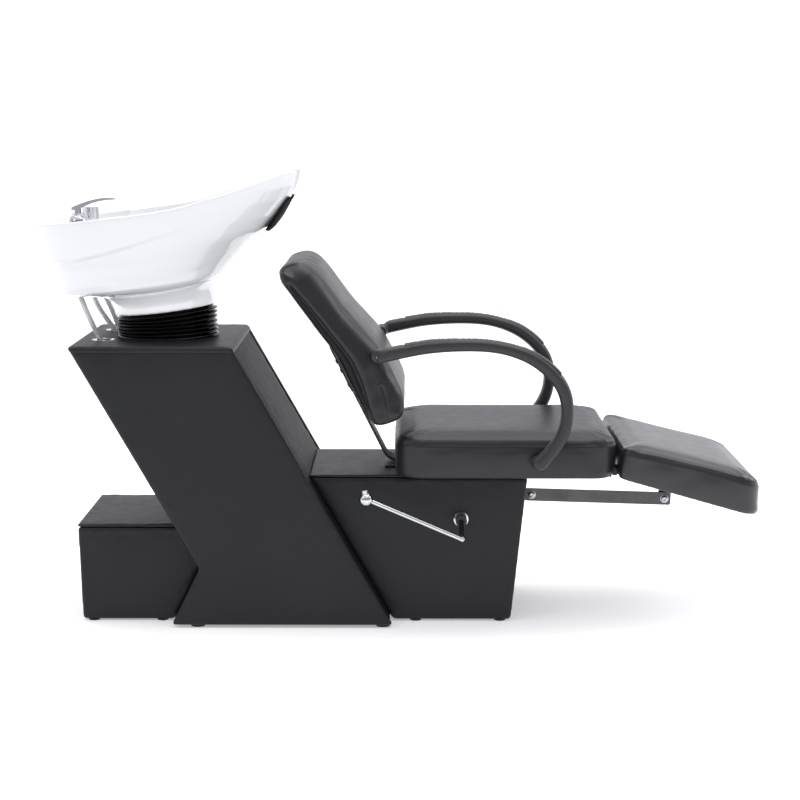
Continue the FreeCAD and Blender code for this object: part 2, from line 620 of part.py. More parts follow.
# two butt hinges: fixed knuckles on the plate under the seat's front
hy = (-150.0, 150.0)
fixed, pins, moving = [hp], [], []
for k, y in enumerate(hy):
    for j, (a, b) in enumerate(((y - 30, y - 11), (y + 11, y + 30))):
        fixed.append(cyl("knuckle_%d_%d" % (k, j), knuck_r, hin_x, a, hin_z, b - a, "y"))
        fixed.append(box("knuckle_tab_%d_%d" % (k, j), seat_x1 - 7, hin_x, a, b, hin_z - 6, hin_z + 3))
    pins.append(cyl("hinge_pin_%d" % k, hpin_r, hin_x, y - 32, hin_z, 64, "y"))
bores = fuse("hinge_bores", [cyl("hinge_bore_0", hpin_r + 0.25, hin_x, -190, hin_z, 80, "y"), cyl("hinge_bore_1", hpin_r + 0.25, hin_x, 110, hin_z, 80, "y")])
group("leg_rest_hinge_plate", [cut("hinge_plate_cut", fuse("hinge_plate_body", fixed), bores)] + pins)


def hinge_leaf(y):
    s = Part.makeCylinder(read(knuck_r), 21.0, V(read(hin_x), y - 10.5, read(hin_z)), V(0, 1, 0))
    w = Part.makePolygon([V(lpt(a, b)[0], y - 10.5, lpt(a, b)[1]) for a, b in ((-8, 4.2), (14, 4.2), (14, -1.4), (-8, 0.3), (-8, 4.2))])
    s = s.fuse(Part.Face(w).extrude(V(0, 21, 0)))
    w = Part.makePolygon([V(lpt(a, b)[0], y - 30, lpt(a, b)[1]) for a, b in ((13, 2.6), (95, 2.6), (95, -1.4), (13, -1.4), (13, 2.6))])
    s = s.fuse(Part.Face(w).extrude(V(0, 60, 0)))
    s = s.cut(ycyl(read(hpin_r) + 0.25, read(hin_x), read(hin_z), y - 40, y + 40))
    return s.removeSplitter()


# the leaves lie in the cushion's open underside, against the board
made("leg_rest_hinge_leaves", Part.makeCompound([hinge_leaf(y) for y in hy]))

# ear under the leg rest that the link is bolted to
bxp, bzp = read(link_bx), read(link_bz)
foot = Part.Face(Part.makePolygon([V(lpt(a, b)[0], -45, lpt(a, b)[1]) for a, b in ((100, 2.6), (190, 2.6), (190, -1.4), (100, -1.4), (100, 2.6))])).extrude(V(0, 90, 0))
ear_top = lpt(142, 1.0)
ear = bar((bxp, bzp), (ear_top[0], ear_top[1] - 14), 30, -11, -5)
ear = ear.fuse(Part.makeBox(60, 6, 16, V(ear_top[0] - 30, -11, ear_top[1] - 14)))
clip = Part.Face(Part.makePolygon([V(lpt(a, b)[0], -60, lpt(a, b)[1]) for a, b in ((40, -1.3), (260, -1.3), (260, -60), (40, -60), (40, -1.3))])).extrude(V(0, 120, 0))
ear = ear.cut(clip).fuse(foot).cut(ycyl(4.3, bxp, bzp, -60, 30)).removeSplitter()
pin = ycyl(4.1, bxp, bzp, -12.0, -2.5).fuse(ycyl(7.5, bxp, bzp, -4.6, 1.0))
made("leg_rest_bracket", ear.fuse(pin).removeSplitter())

# ---------------------------------------------------------------- link, crank and lever
pxp, pzp = read(crank_px), read(crank_pz)
lxp, lzp = read(lev_x), read(lev_z)
link = square_bar((pxp, pzp), (bxp, bzp), 30, 15, -18.5, -12.5)
link = link.cut(ycyl(5.2, pxp, pzp, -30, 0)).cut(ycyl(5.2, bxp, bzp, -30, 0))
made("link_bar", link)
made("link_bolts", Part.makeCompound([
    ycyl(5, pxp, pzp, -18.6, -12.4).fuse(ycyl(8, pxp, pzp, -23.5, -18.6)),
    ycyl(5, bxp, bzp, -18.6, -12.4).fuse(ycyl(8, bxp, bzp, -23.5, -18.6))]))
crank = bar((lxp, lzp), (pxp, pzp), 26, -11, -5).fuse(ycyl(15, lxp, lzp, -11, 4)).cut(ycyl(read(shaft_r) + 0.02, lxp, lzp, -20, 20)).removeSplitter()
made("crank_arm", crank)
cyl("lever_shaft", shaft_r, lev_x, -180, lev_z, 214, "y", "lever_shaft")
cut("shaft_bush_cut", fuse("shaft_bush_body", [cyl("bush_body", shaft_r + 4, lev_x, -box_hw - 1.0, lev_z, 23, "y"), cyl("bush_flange", 17, lev_x, -box_hw - 3.4, lev_z, 3.2, "y")]),
    cyl("bush_bore", shaft_r + 0.15, lev_x, -200, lev_z, 80, "y"), "lever_bush")
brk = prism("bearing_blank", [(128, 22.5), (200, 22.5), (182, 262), (147, 262)], 18, 24)
brk_f = fuse("bearing_fused", [brk, box("bearing_foot", 128, 200, 18, 58, 22.4, 26.4), cyl("bearing_boss", 15, lev_x, 14, lev_z, 16, "y")])
cut("bearing_cut", brk_f, cyl("bearing_bore", shaft_r + 0.15, lev_x, -5, lev_z, 60, "y"), "shaft_bearing_bracket")
kx, ky, kz = -52.0, -271.5, 312.0
# short stub out of the hub and a straight rod across its end
tip = V(lxp + 2.7, ky, 219.4)
along = V(kx + 12.0, ky, kz - 4.2) - tip
lever_rod = Part.makeCylinder(5.0, along.Length, tip, along)
foot_at = V(lxp - 1.0, ky, 221.0)
hub_at = V(lxp, -186.0, lzp)
stub = Part.makeCylinder(6.0, (foot_at - hub_at).Length, hub_at, foot_at - hub_at)
hub = ycyl(13, lxp, lzp, -192, -169.6).cut(ycyl(read(shaft_r) + 0.02, lxp, lzp, -180.0, -160))
made("lever_rod", hub.fuse(stub).fuse(lever_rod).removeSplitter())
ball = Part.makeSphere(15.5, V(kx, ky, kz)).fuse(Part.makeCylinder(6.5, 19.5, V(kx, ky, kz), V(-0.15, 0, 1)))
ball = ball.cut(lever_rod)
made("lever_knob", ball.removeSplitter())

# ---------------------------------------------------------------- basin
def ring_pts(xl, zl, xr, zr, hw, n, taper, cnt=28):
    """A closed plan loop that lies in a plane leaning along X."""
    cx, a = (xl + xr) / 2, (xr - xl) / 2
    out = []
    for i in range(cnt):
        th = 2 * math.pi * (i + 0.5) / cnt
        c, s = math.cos(th), math.sin(th)
        x = a * math.copysign(abs(c) ** (2 / n), c)
        y = hw * math.copysign(abs(s) ** (2 / n), s)
        f = (x + a) / (2 * a)
        y *= 1 - taper * f ** 1.6
        out.append(V(cx + x, y, zl + (zr - zl) * f))
    return out


def ring(*args):
    c = Part.BSplineCurve()
    c.interpolate(ring_pts(*args), PeriodicFlag=True)
    return Part.Wire(c.toShape())


OUT = [(-647, 700, -408, 728, 119.5, 2.0, 0.0), (-649, 718, -406, 746, 121, 2.0, 0.0), (-671, 744, -402, 776, 152, 2.15, 0.02),
       (-775, 752, -387, 801, 203, 2.5, 0.12), (-785, 806, -340, 858, 228, 2.6, 0.24), (-797, 822, -322, 876, 235, 2.62, 0.27),
       (-808, 850, -284, 908, 243, 2.7, 0.33), (-822, 915, -204, 1008, 250, 2.8, 0.41), (-831, 965, -184, 1060, 252, 2.8, 0.44)]
INN = [(-644, 764, -462, 774, 88, 2.0, 0.0), (-674, 788, -412, 812, 160, 2.2, 0.05), (-688, 830, -366, 862, 196, 2.5, 0.17),
       (-697, 880, -308, 916, 216, 2.6, 0.30), (-704, 930, -254, 985, 225, 2.7, 0.40), (-712, 985, -208, 1064, 228, 2.75, 0.45)]


def between(rows, steps=3):
    """More rows between the given ones, each size going monotonically."""
    out, n = [], len(rows)
    for i in range(n - 1):
        for k in range(steps):
            f, new = k / steps, []
            for c in range(7):
                p = [rows[min(max(j, 0), n - 1)][c] for j in (i - 1, i, i + 1, i + 2)]
                d = [p[1] - p[0], p[2] - p[1], p[3] - p[2]]
                m0 = 0.0 if d[0] * d[1] <= 0 else 2 * d[0] * d[1] / (d[0] + d[1])
                m1 = 0.0 if d[1] * d[2] <= 0 else 2 * d[1] * d[2] / (d[1] + d[2])
                if i == 0:
                    m0 = d[1]
                if i == n - 2:
                    m1 = d[1]
                new.append(p[1] * (2 * f**3 - 3 * f**2 + 1) + m0 * (f**3 - 2 * f**2 + f) + p[2] * (3 * f**2 - 2 * f**3) + m1 * (f**3 - f**2))
            out.append(tuple(new))
    return out + [tuple(rows[-1])]


def loft(rows):
    return Part.makeLoft([ring(*r) for r in between(rows)], True, True, False)


def grown(rows, d, front=None):
    f = d if front is None else front
    return [(r[0] - d, r[1], r[2] + f, r[3], r[4] + d) + tuple(r[5:]) for r in rows]


outer = loft(OUT)
inner = loft(INN)
# rim line, seen from the side, that trims the top of both lofts
rim = Part.BSplineCurve()
rim_pts = [(-900, 918), (-829, 919), (-740, 924), (-680, 931), (-586, 942), (-526, 950), (-465, 962), (-416, 976), (-354, 994), (-308, 1009.5), (-266, 1025),
           (-236, 1035.5), (-219, 1038.5), (-206, 1033), (-196, 1022), (-188, 1008), (-176, 985)]
rim.interpolate([V(x, -400, z) for x, z in rim_pts])
trim_w = Part.Wire([rim.toShape(), Part.LineSegment(V(-176, -400, 985), V(-100, -400, 985)).toShape(), Part.LineSegment(V(-100, -400, 985), V(-100, -400, 1200)).toShape(),
                    Part.LineSegment(V(-100, -400, 1200), V(-900, -400, 1200)).toShape(), Part.LineSegment(V(-900, -400, 1200), V(-900, -400, 918)).toShape()])
trim = Part.Face(trim_w).extrude(V(0, 800, 0))
deck = loft(grown(OUT[4:], -16)).common(Part.makeBox(260, 600, 300, V(-900, -300, read(deck_z))))
groove_axis = V(250, 0, 101)
groove = Part.makeCylinder(74, 270, V(-395, 0, 963), groove_axis)
# service space behind the bowl, which the hoses leave through an opening underneath
service = Part.Face(Part.makePolygon([V(x, -104, z) for x, z in ((-742, 730), (-742, 772), (-762, 815), (-768, 878), (-712, 878), (-698, 800), (-678, 768), (-678, 730), (-742, 730))])).extrude(V(0, 208, 0))
collar_room = Part.makeCylinder(105, 70, V(-528, 0, 678))
basin = outer.cut(inner).cut(trim).cut(deck).cut(groove).cut(service).cut(collar_room)
dxp = read(drain_x)
basin = basin.cut(Part.makeCylinder(21, 60, V(dxp, 0, 730))).cut(Part.makeCylinder(36, 30, V(dxp, 0, 764)))
mxp, sxp, syp = read(mix_x), read(spray_x), read(spray_y)
basin = basin.cut(Part.makeCylinder(17, 40, V(mxp, 0, 865))).cut(Part.makeCylinder(14, 55, V(sxp, syp, 850)))
for px_ in (-450.0,):
    for py_ in (-42.0, 42.0):
        basin = basin.cut(Part.makeCylinder(3.3, 8, V(px_, py_, 746)))
print("basin", basin.isValid(), len(basin.Solids), "volume", round(basin.Volume / 1e6, 2), "litres; bounds", basin.BoundBox)
made("basin", basin)

# rubber neck pad on the outside of the neck end
pad_band = loft(grown(OUT[4:], 7, 15)).cut(loft(grown(OUT[4:], 0.5)))
pad_zone = Part.Face(Part.makePolygon([V(x, -82, z) for x, z in ((-288, 902), (-262, 880), (-224, 880), (-198, 911), (-181, 950), (-183, 966), (-229, 976), (-288, 902))])).extrude(V(0, 164, 0))
neck = pad_band.common(pad_zone)
neck = max(neck.Solids, key=lambda s: s.Volume)
neck = neck.cut(Part.makeCylinder(74.5, 270, V(-395, 0, 963), groove_axis))
print("neck pad", neck.isValid(), neck.Volume, neck.BoundBox)
made("neck_rest", neck)

# drain
made("drain_flange", Part.makeCylinder(34, 3.6, V(dxp, 0, 764.3)).fuse(Part.makeCylinder(20.5, 30, V(dxp, 0, 738))).cut(Part.makeCylinder(17.5, 60, V(dxp, 0, 730))).removeSplitter())
strain = Part.makeCylinder(17, 3, V(dxp, 0, 765)).fuse(Part.makeCylinder(12, 14, V(dxp, 0, 752)))
for a in range(0, 360, 60):
    strain = strain.cut(Part.makeCylinder(2.4, 30, V(dxp + 7 * math.cos(math.radians(a)), 7 * math.sin(math.radians(a)), 745)))
made("drain_strainer", strain.fuse(Part.makeCylinder(3, 8, V(dxp, 0, 766))).removeSplitter())
made("drain_tail", Part.makeCylinder(24, 9.5, V(dxp, 0, 738)).fuse(Part.makeCylinder(21, 50, V(dxp, 0, 692))).cut(Part.makeCylinder(20.6, 30, V(dxp, 0, 729))).cut(Part.makeCylinder(17.5, 100, V(dxp, 0, 680))).removeSplitter())

# steel tilt bracket under the basin, its pin and the stand on the top board
tx, tz = read(tilt_x), read(tilt_z)
bracket = Part.makeBox(96, 110, 3.6, V(-541, -55, 744)).cut(Part.makeCylinder(30, 20, V(dxp, 0, 740)))
for y in (-44.0, 40.0):
    bracket = bracket.fuse(bar((tx, tz), (tx, 733), 26, y, y + 4)).fuse(Part.makeBox(52, 4, 14, V(tx - 26, y, 732)))
bracket = bracket.cut(ycyl(read(tpin_r) + 0.2, tx, tz, -80, 80)).removeSplitter()
made("basin_tilt_bracket", bracket)
zt = read(ped_top) - 2 + 0.2
stand = Part.makeBox(56, 116, 4, V(-500, -58, zt))
for y in (-39.0, 35.0):
    stand = stand.fuse(bar((tx, tz), (tx, zt + 12), 26, y, y + 4)).fuse(Part.makeBox(40, 4, 12, V(tx - 20, y, zt + 2)))
stand = stand.cut(Part.makeBox(200, 200, 60, V(-600, -100, zt - 60))).cut(ycyl(read(tpin_r) + 0.2, tx, tz, -80, 80)).removeSplitter()
tpin = ycyl(read(tpin_r), tx, tz, -50, 50).fuse(ycyl(8, tx, tz, -53, -49)).fuse(ycyl(8, tx, tz, 49, 53))
made("basin_tilt_stand", Part.makeCompound([stand, tpin]))

# bellows between the pedestal top and the basin's collar
def bell_ring(f, r):
    """A circle f of the way up from the top board to the leaning collar."""
    a = math.radians(6.68) * f
    c = V(read(bell_x) - 4.5 * f, 0, zt + 0.1 + (714 - zt - 0.8) * f)
    return Part.Wire(Part.makeCircle(r, c, V(-math.sin(a), 0, math.cos(a))))


nb_f = 6
rings = []
for i in range(2 * nb_f + 1):
    rings.append(bell_ring(i / (2.0 * nb_f), read(bell_r) - (0.0 if i % 2 else 7.5)))
shell = Part.makeLoft(rings, True, True, False)
core = Part.makeLoft([bell_ring(-0.02, read(bell_r) - 10.5), bell_ring(1.02, read(bell_r) - 10.5)], True, True, False)
bellows = shell.cut(core)
print("bellows", bellows.isValid(), len(bellows.Solids), bellows.BoundBox)
made("bellows", bellows)

# ---------------------------------------------------------------- mixer and spray
dz = read(deck_z)
mb = Part.makeCylinder(24, 4, V(mxp, 0, dz + 0.2)).fuse(Part.makeCylinder(21.5, 22, V(mxp, 0, dz + 0.2)))
mb = mb.fuse(Part.makeSphere(21.5, V(mxp, 0, dz + 22)).common(Part.makeBox(60, 60, 16, V(mxp - 30, -30, dz + 22))))
mb = mb.fuse(Part.makeCylinder(16, 34, V(mxp, 0, dz - 33)))
mb = mb.cut(Part.makeCylinder(9.2, 40, V(mxp, 0, dz + 18))).removeSplitter()
made("mixer_body", mb)
stem = Part.makeCylinder(9, 26, V(mxp, 0, dz + 18.5)).fuse(Part.makeCylinder(14, 5, V(mxp, 0, dz + 39))).cut(Part.makeBox(40, 11, 12, V(mxp - 20, -5.5, dz + 44.0)))
stem = stem.fuse(Part.makeBox(12, 3, 12, V(mxp - 6, -9, dz + 42))).fuse(Part.makeBox(12, 3, 12, V(mxp - 6, 6, dz + 42)))
stem = stem.fuse(ycyl(2.0, mxp, dz + 49, -8.9, 8.9)).removeSplitter()
made("mixer_stem", stem)
blade_top = [(-744, 950), (-730, 956), (-706, 964.5), (-671, 972), (-641, 971.5)]
blade_bot = [(-641, 968.5), (-671, 966), (-706, 956), (-722, 948.5), (-744, 944)]
bt, bb = Part.BSplineCurve(), Part.BSplineCurve()
bt.interpolate([V(x, -13, z) for x, z in blade_top])
bb.interpolate([V(x, -13, z) for x, z in blade_bot])
bw = Part.Wire([bt.toShape(), Part.LineSegment(V(-641, -13, 971.5), V(-641, -13, 968.5)).toShape(), bb.toShape(), Part.LineSegment(V(-744, -13, 944), V(-744, -13, 950)).toShape()])
blade = Part.Face(bw).extrude(V(0, 26, 0))
blade = blade.cut(Part.makeBox(60, 10, 30, V(mxp - 30, -15.6, dz + 40)).fuse(Part.makeBox(60, 10, 30, V(mxp - 30, 5.6, dz + 40))))
blade = blade.fuse(ycyl(4.6, mxp, dz + 49, -5.2, 5.2)).cut(ycyl(2.2, mxp, dz + 49, -20, 20))
blade = max(blade.removeSplitter().Solids, key=lambda s: s.Volume)
made("mixer_lever", blade)
made("spray_holder", Part.makeCylinder(21, 4, V(sxp, syp, dz + 0.2)).fuse(Part.makeCylinder(13.4, 40, V(sxp, syp, dz - 36))).cut(Part.makeCylinder(11.4, 80, V(sxp, syp, dz - 50))).removeSplitter())
sp = Part.makeCylinder(11, 44, V(sxp, syp, dz - 34)).fuse(Part.makeCylinder(6, 90, V(sxp, syp, dz - 121))).fuse(Part.makeCone(13, 19.5, 20, V(sxp, syp, dz + 8))).fuse(Part.makeCylinder(19.5, 26, V(sxp, syp, dz + 28)))
made("spray_head", sp.removeSplitter())

# ---------------------------------------------------------------- hoses
hr = read(hose_r)
near = [(mxp - 6, -7, 856.5), (mxp - 4, -22, 826), (-732, -56, 792), (-717, -82, 755), (-695, -93, 704), (-669, -97, 650), (-641, -97, 602), (-600, -97, 548), (-562, -97, 508), (-555, -97, 478.6)]
hot = [(mxp + 6, 7, 856.5), (mxp + 6, 22, 826), (-708, 50, 792), (-692, 74, 752), (-671, 92, 700), (-656, 100.5, 655), (-654, 101, 628), (-628, 98, 600), (-592, 97, 550), (-560, 97, 510), (-555, 97, 478.6)]
spr = [(sxp, syp, 771.5), (sxp - 0.5, syp + 2, 745), (-709, 93, 716), (-690, 95, 684), (-668, 93.5, 655), (-666.5, 93, 628), (-640, 74, 592), (-580, 42, 545), (-528, 32, 505), (-480, 30, 452), (-450, 30, 400)]
made("supply_hose_cold", tube(near, hr))
made("supply_hose_hot", tube(hot, hr))
made("spray_hose", tube(spr, hr))
unions = [cyl("union_right", 10, -555, -grom_y, 441, 35.6), cyl("union_left", 10, -555, grom_y, 441, 35.6)]
shelf_x0 = read(ped_rt) + (650 - 452) * 0.5656 + 3.4 + 20.8
sh = Part.makeBox(-530 - shelf_x0, 250, 3, V(shelf_x0, -125, 452))
up = Part.Face(Part.makePolygon([V(shelf_x0 + (452 - z) * 0.5656 + t, -125, z) for z, t in ((452, 0), (420, 0), (420, 3.4), (452, 3.4), (452, 0))])).extrude(V(0, 250, 0))
sh = sh.fuse(up).cut(Part.makeCylinder(10.3, 20, V(-555, -97, 445))).cut(Part.makeCylinder(10.3, 20, V(-555, 97, 445))).removeSplitter()
shelf = doc.addObject("Part::Feature", "union_shelf")
shelf.Shape = sh
group("hose_unions", unions + [shelf])
waste = [(dxp, 0, 691.5), (-584, 0, 640), (-568, 0, 584), (-536, 0, 524), (-496, 0, 462), (-452, 0, 392), (-412, 0, 322), (-384, 0, 252), (-377, 0, 186), (-388, 0, 128), (-424, 0, 88), (-476, 0, 62), (-540, 0, 48), (-606, 0, 45), (-676, 0, 45.01)]
made("waste_hose", tube(waste, 16))
wz = read(waste_z)
plate = Part.makeBox(2.5, 176, 88, V(-691.5, -88, 5)).cut(Part.makeCylinder(18, 60, V(-720, 0, wz), V(1, 0, 0)))
made("waste_outlet", Part.makeCylinder(20, 34, V(-712, 0, wz), V(1, 0, 0)).fuse(Part.makeCylinder(24, 8, V(-684.5, 0, wz), V(1, 0, 0))).fuse(plate).cut(
    Part.makeCylinder(16.5, 60, V(-720, 0, wz), V(1, 0, 0))).removeSplitter())

# ---------------------------------------------------------------- check and write
doc.recompute()
bad = []
for o in doc.Objects:
    if "Invalid" in o.State or "Error" in o.State:
        bad.append((o.Label, o.State))
seen = set()
for o in NODES:
    if o.Label in seen:
        bad.append((o.Label, "label used twice"))
    seen.add(o.Label)
    if o.Shape.isNull() or not o.Shape.isValid() or not o.Shape.Solids:
        bad.append((o.Label, "shape null, not valid or without a solid"))
if bad:
    raise RuntimeError("failed: %s" % bad)
os.makedirs("parts", exist_ok=True)
box_all = FreeCAD.BoundBox()
for o in NODES:
    o.Shape.exportStep("parts/%s.step" % o.Label)
    box_all.add(o.Shape.BoundBox)
    print("%-28s solids %2d volume %9.0f  x %6.0f %6.0f y %6.0f %6.0f z %6.0f %6.0f" % (
        o.Label, len(o.Shape.Solids), o.Shape.Volume, o.Shape.BoundBox.XMin, o.Shape.BoundBox.XMax, o.Shape.BoundBox.YMin,
        o.Shape.BoundBox.YMax, o.Shape.BoundBox.ZMin, o.Shape.BoundBox.ZMax))
print("nodes", len(NODES), "box", box_all)
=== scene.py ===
import json
import math

import bmesh
import bpy
import numpy as np
from mathutils.bvhtree import BVHTree
from mathutils import Matrix, Vector

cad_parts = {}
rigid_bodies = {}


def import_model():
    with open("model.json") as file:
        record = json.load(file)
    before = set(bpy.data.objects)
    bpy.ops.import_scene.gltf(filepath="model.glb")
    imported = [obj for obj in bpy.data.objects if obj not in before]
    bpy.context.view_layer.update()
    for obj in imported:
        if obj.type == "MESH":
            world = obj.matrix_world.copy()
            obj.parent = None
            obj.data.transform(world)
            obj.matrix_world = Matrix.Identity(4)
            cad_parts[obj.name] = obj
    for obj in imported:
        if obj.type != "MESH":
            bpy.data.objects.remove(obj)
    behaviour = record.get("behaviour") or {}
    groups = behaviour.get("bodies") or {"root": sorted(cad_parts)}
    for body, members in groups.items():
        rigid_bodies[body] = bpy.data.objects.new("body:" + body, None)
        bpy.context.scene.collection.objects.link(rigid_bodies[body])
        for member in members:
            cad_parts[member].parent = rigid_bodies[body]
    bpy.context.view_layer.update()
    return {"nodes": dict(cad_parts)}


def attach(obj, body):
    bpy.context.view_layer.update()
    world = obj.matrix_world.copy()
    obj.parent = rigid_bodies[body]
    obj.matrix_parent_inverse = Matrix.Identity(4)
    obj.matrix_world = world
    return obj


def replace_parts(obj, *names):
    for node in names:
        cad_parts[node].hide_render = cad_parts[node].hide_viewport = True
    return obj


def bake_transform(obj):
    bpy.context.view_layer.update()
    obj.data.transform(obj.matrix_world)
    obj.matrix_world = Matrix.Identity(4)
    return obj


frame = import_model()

NODE = frame["nodes"]

# ---------------------------------------------------------------- camera
cam_data = bpy.data.cameras.new("camera")
cam_data.sensor_width = 36.0
cam_data.lens = 80.55
cam = bpy.data.objects.new("camera", cam_data)
cam.location = (0.044, -4.1975, 1.167)
cam.rotation_euler = (math.radians(90 - 9.1), 0.0, math.radians(0.288))
bpy.context.scene.collection.objects.link(cam)
bpy.context.scene.camera = cam


# ---------------------------------------------------------------- mesh helpers
def link(name, me):
    ob = bpy.data.objects.new(name, me)
    bpy.context.scene.collection.objects.link(ob)
    return ob


def mesh(name, verts, faces, smooth=True):
    me = bpy.data.meshes.new(name)
    me.from_pydata([tuple(v) for v in verts], [], [tuple(f) for f in faces])
    me.validate()
    me.update()
    if smooth:
        me.polygons.foreach_set("use_smooth", [True] * len(me.polygons))
    return link(name, me)


def bake(ob):
    """Puts the modifiers' result into the object's own mesh."""
    bpy.context.view_layer.update()
    dg = bpy.context.evaluated_depsgraph_get()
    me = bpy.data.meshes.new_from_object(ob.evaluated_get(dg))
    ob.modifiers.clear()
    old = ob.data
    ob.data = me
    me.name = ob.name
    if old.users == 0:
        bpy.data.meshes.remove(old)
    me.polygons.foreach_set("use_smooth", [True] * len(me.polygons))
    return ob


def get(ob):
    a = np.empty(len(ob.data.vertices) * 3)
    ob.data.vertices.foreach_get("co", a)
    return a.reshape(-1, 3)


def nrm(ob):
    a = np.empty(len(ob.data.vertices) * 3, np.float32)
    ob.data.vertex_normals.foreach_get("vector", a)
    return a.reshape(-1, 3).astype(float)


def put(ob, co):
    ob.data.vertices.foreach_set("co", np.asarray(co, np.float32).ravel())
    ob.data.update()


def remesh(ob, size, smooth=0, factor=0.5):
    m = ob.modifiers.new("remesh", "REMESH")
    m.mode = "VOXEL"
    m.voxel_size = size
    m.adaptivity = 0.0
    m.use_smooth_shade = True
    if smooth:
        s = ob.modifiers.new("smooth", "SMOOTH")
        s.factor = factor
        s.iterations = smooth
    return bake(ob)


def weld(ob, dist=1e-5):
    """Joins points that lie on each other."""
    bm_ = bmesh.new()
    bm_.from_mesh(ob.data)
    bmesh.ops.remove_doubles(bm_, verts=bm_.verts, dist=dist)
    bmesh.ops.recalc_face_normals(bm_, faces=bm_.faces)
    bm_.to_mesh(ob.data)
    bm_.free()
    return ob


def relax(ob, n, factor=0.5):
    s = ob.modifiers.new("smooth", "SMOOTH")
    s.factor = factor
    s.iterations = n
    return bake(ob)


def subdivide(ob, levels=1):
    s = ob.modifiers.new("sub", "SUBSURF")
    s.levels = s.render_levels = levels
    return bake(ob)


def ss(x, a, b):
    t = np.clip((np.asarray(x, float) - a) / (b - a), 0, 1)
    return t * t * (3 - 2 * t)


def wob(P, seed, size, n=6):
    """Smooth unevenness between about -1 and 1, for features of about that size in metres."""
    rs = np.random.RandomState(seed)
    out = np.zeros(len(P))
    for _ in range(n):
        d = rs.normal(size=3)
        d /= np.linalg.norm(d)
        k = 2 * math.pi / (size * rs.uniform(0.7, 1.6))
        out += np.sin(P @ d * k + rs.uniform(0, 6.28))
    return out / math.sqrt(n)


def polydist(P2, poly, closed=False):
    """Distance from 2-D points to a polyline."""
    pts = np.asarray(poly, float)
    segs = list(zip(pts[:-1], pts[1:]))
    if closed:
        segs.append((pts[-1], pts[0]))
    best = np.full(len(P2), 1e9)
    for a, b in segs:
        ab = b - a
        t = np.clip(((P2 - a) @ ab) / (ab @ ab), 0, 1)
        best = np.minimum(best, np.linalg.norm(P2 - (a + t[:, None] * ab), axis=1))
    return best


def inside(P2, poly):
    pts = np.asarray(poly, float)
    r = np.zeros(len(P2), bool)
    x, y = P2[:, 0], P2[:, 1]
    for a, b in zip(pts, np.roll(pts, -1, axis=0)):
        c = (a[1] > y) != (b[1] > y)
        with np.errstate(divide="ignore", invalid="ignore"):
            r ^= c & (x < (b[0] - a[0]) * (y - a[1]) / (b[1] - a[1] + 1e-12) + a[0])
    return r


def prism(name, pts, y0, y1, bevel=0.0, segs=3):
    """A closed board from a profile in the XZ plane, in millimetres."""
    n = len(pts)
    v = [(x / 1000, y0 / 1000, z / 1000) for x, z in pts] + [(x / 1000, y1 / 1000, z / 1000) for x, z in pts]
    f = [tuple(range(n)), tuple(range(2 * n - 1, n - 1, -1))] + [(i, i + n, (i + 1) % n + n, (i + 1) % n) for i in range(n)]
    ob = mesh(name, v, f)
    bm = bmesh.new()
    bm.from_mesh(ob.data)
    bmesh.ops.recalc_face_normals(bm, faces=bm.faces)
    bm.to_mesh(ob.data)
    bm.free()
    if bevel:
        b = ob.modifiers.new("bevel", "BEVEL")
        b.width = bevel / 1000
        b.segments = segs
        b.limit_method = "ANGLE"
        b.angle_limit = math.radians(20)
        bake(ob)
    return ob


def spline_points(pts, res=12):
    """Points in metres along the smooth line that the control points give."""
    cu = bpy.data.curves.new("route", "CURVE")
    cu.dimensions = "3D"
    sp = cu.splines.new("NURBS")
    sp.points.add(len(pts) - 1)
    for p, c in zip(sp.points, pts):
        p.co = (c[0] / 1000, c[1] / 1000, c[2] / 1000, 1)
    sp.order_u = 3
    sp.use_endpoint_u = True
    sp.resolution_u = res
    ob = link("route", cu)
    bpy.context.view_layer.update()
    me = bpy.data.meshes.new_from_object(ob.evaluated_get(bpy.context.evaluated_depsgraph_get()))
    out = np.array([v.co[:] for v in me.vertices])
    bpy.data.objects.remove(ob)
    bpy.data.curves.remove(cu)
    bpy.data.meshes.remove(me)
    return out


def even(P, step):
    """The same line with points a fixed step apart."""
    d = np.r_[0, np.cumsum(np.linalg.norm(np.diff(P, axis=0), axis=1))]
    n = max(2, int(round(d[-1] / step)) + 1)
    s = np.linspace(0, d[-1], n)
    return np.column_stack([np.interp(s, d, P[:, i]) for i in range(3)]), s


def frames(P):
    T = np.gradient(P, axis=0)
    T /= np.linalg.norm(T, axis=1)[:, None]
    a = np.array([0, 1, 0.0]) if abs(T[0][1]) < 0.9 else np.array([1, 0, 0.0])
    u = a - T[0] * (a @ T[0])
    u /= np.linalg.norm(u)
    U = [u]
    for i in range(1, len(P)):
        u = U[-1] - T[i] * (U[-1] @ T[i])
        U.append(u / np.linalg.norm(u))
    U = np.array(U)
    return T, U, np.cross(T, U)


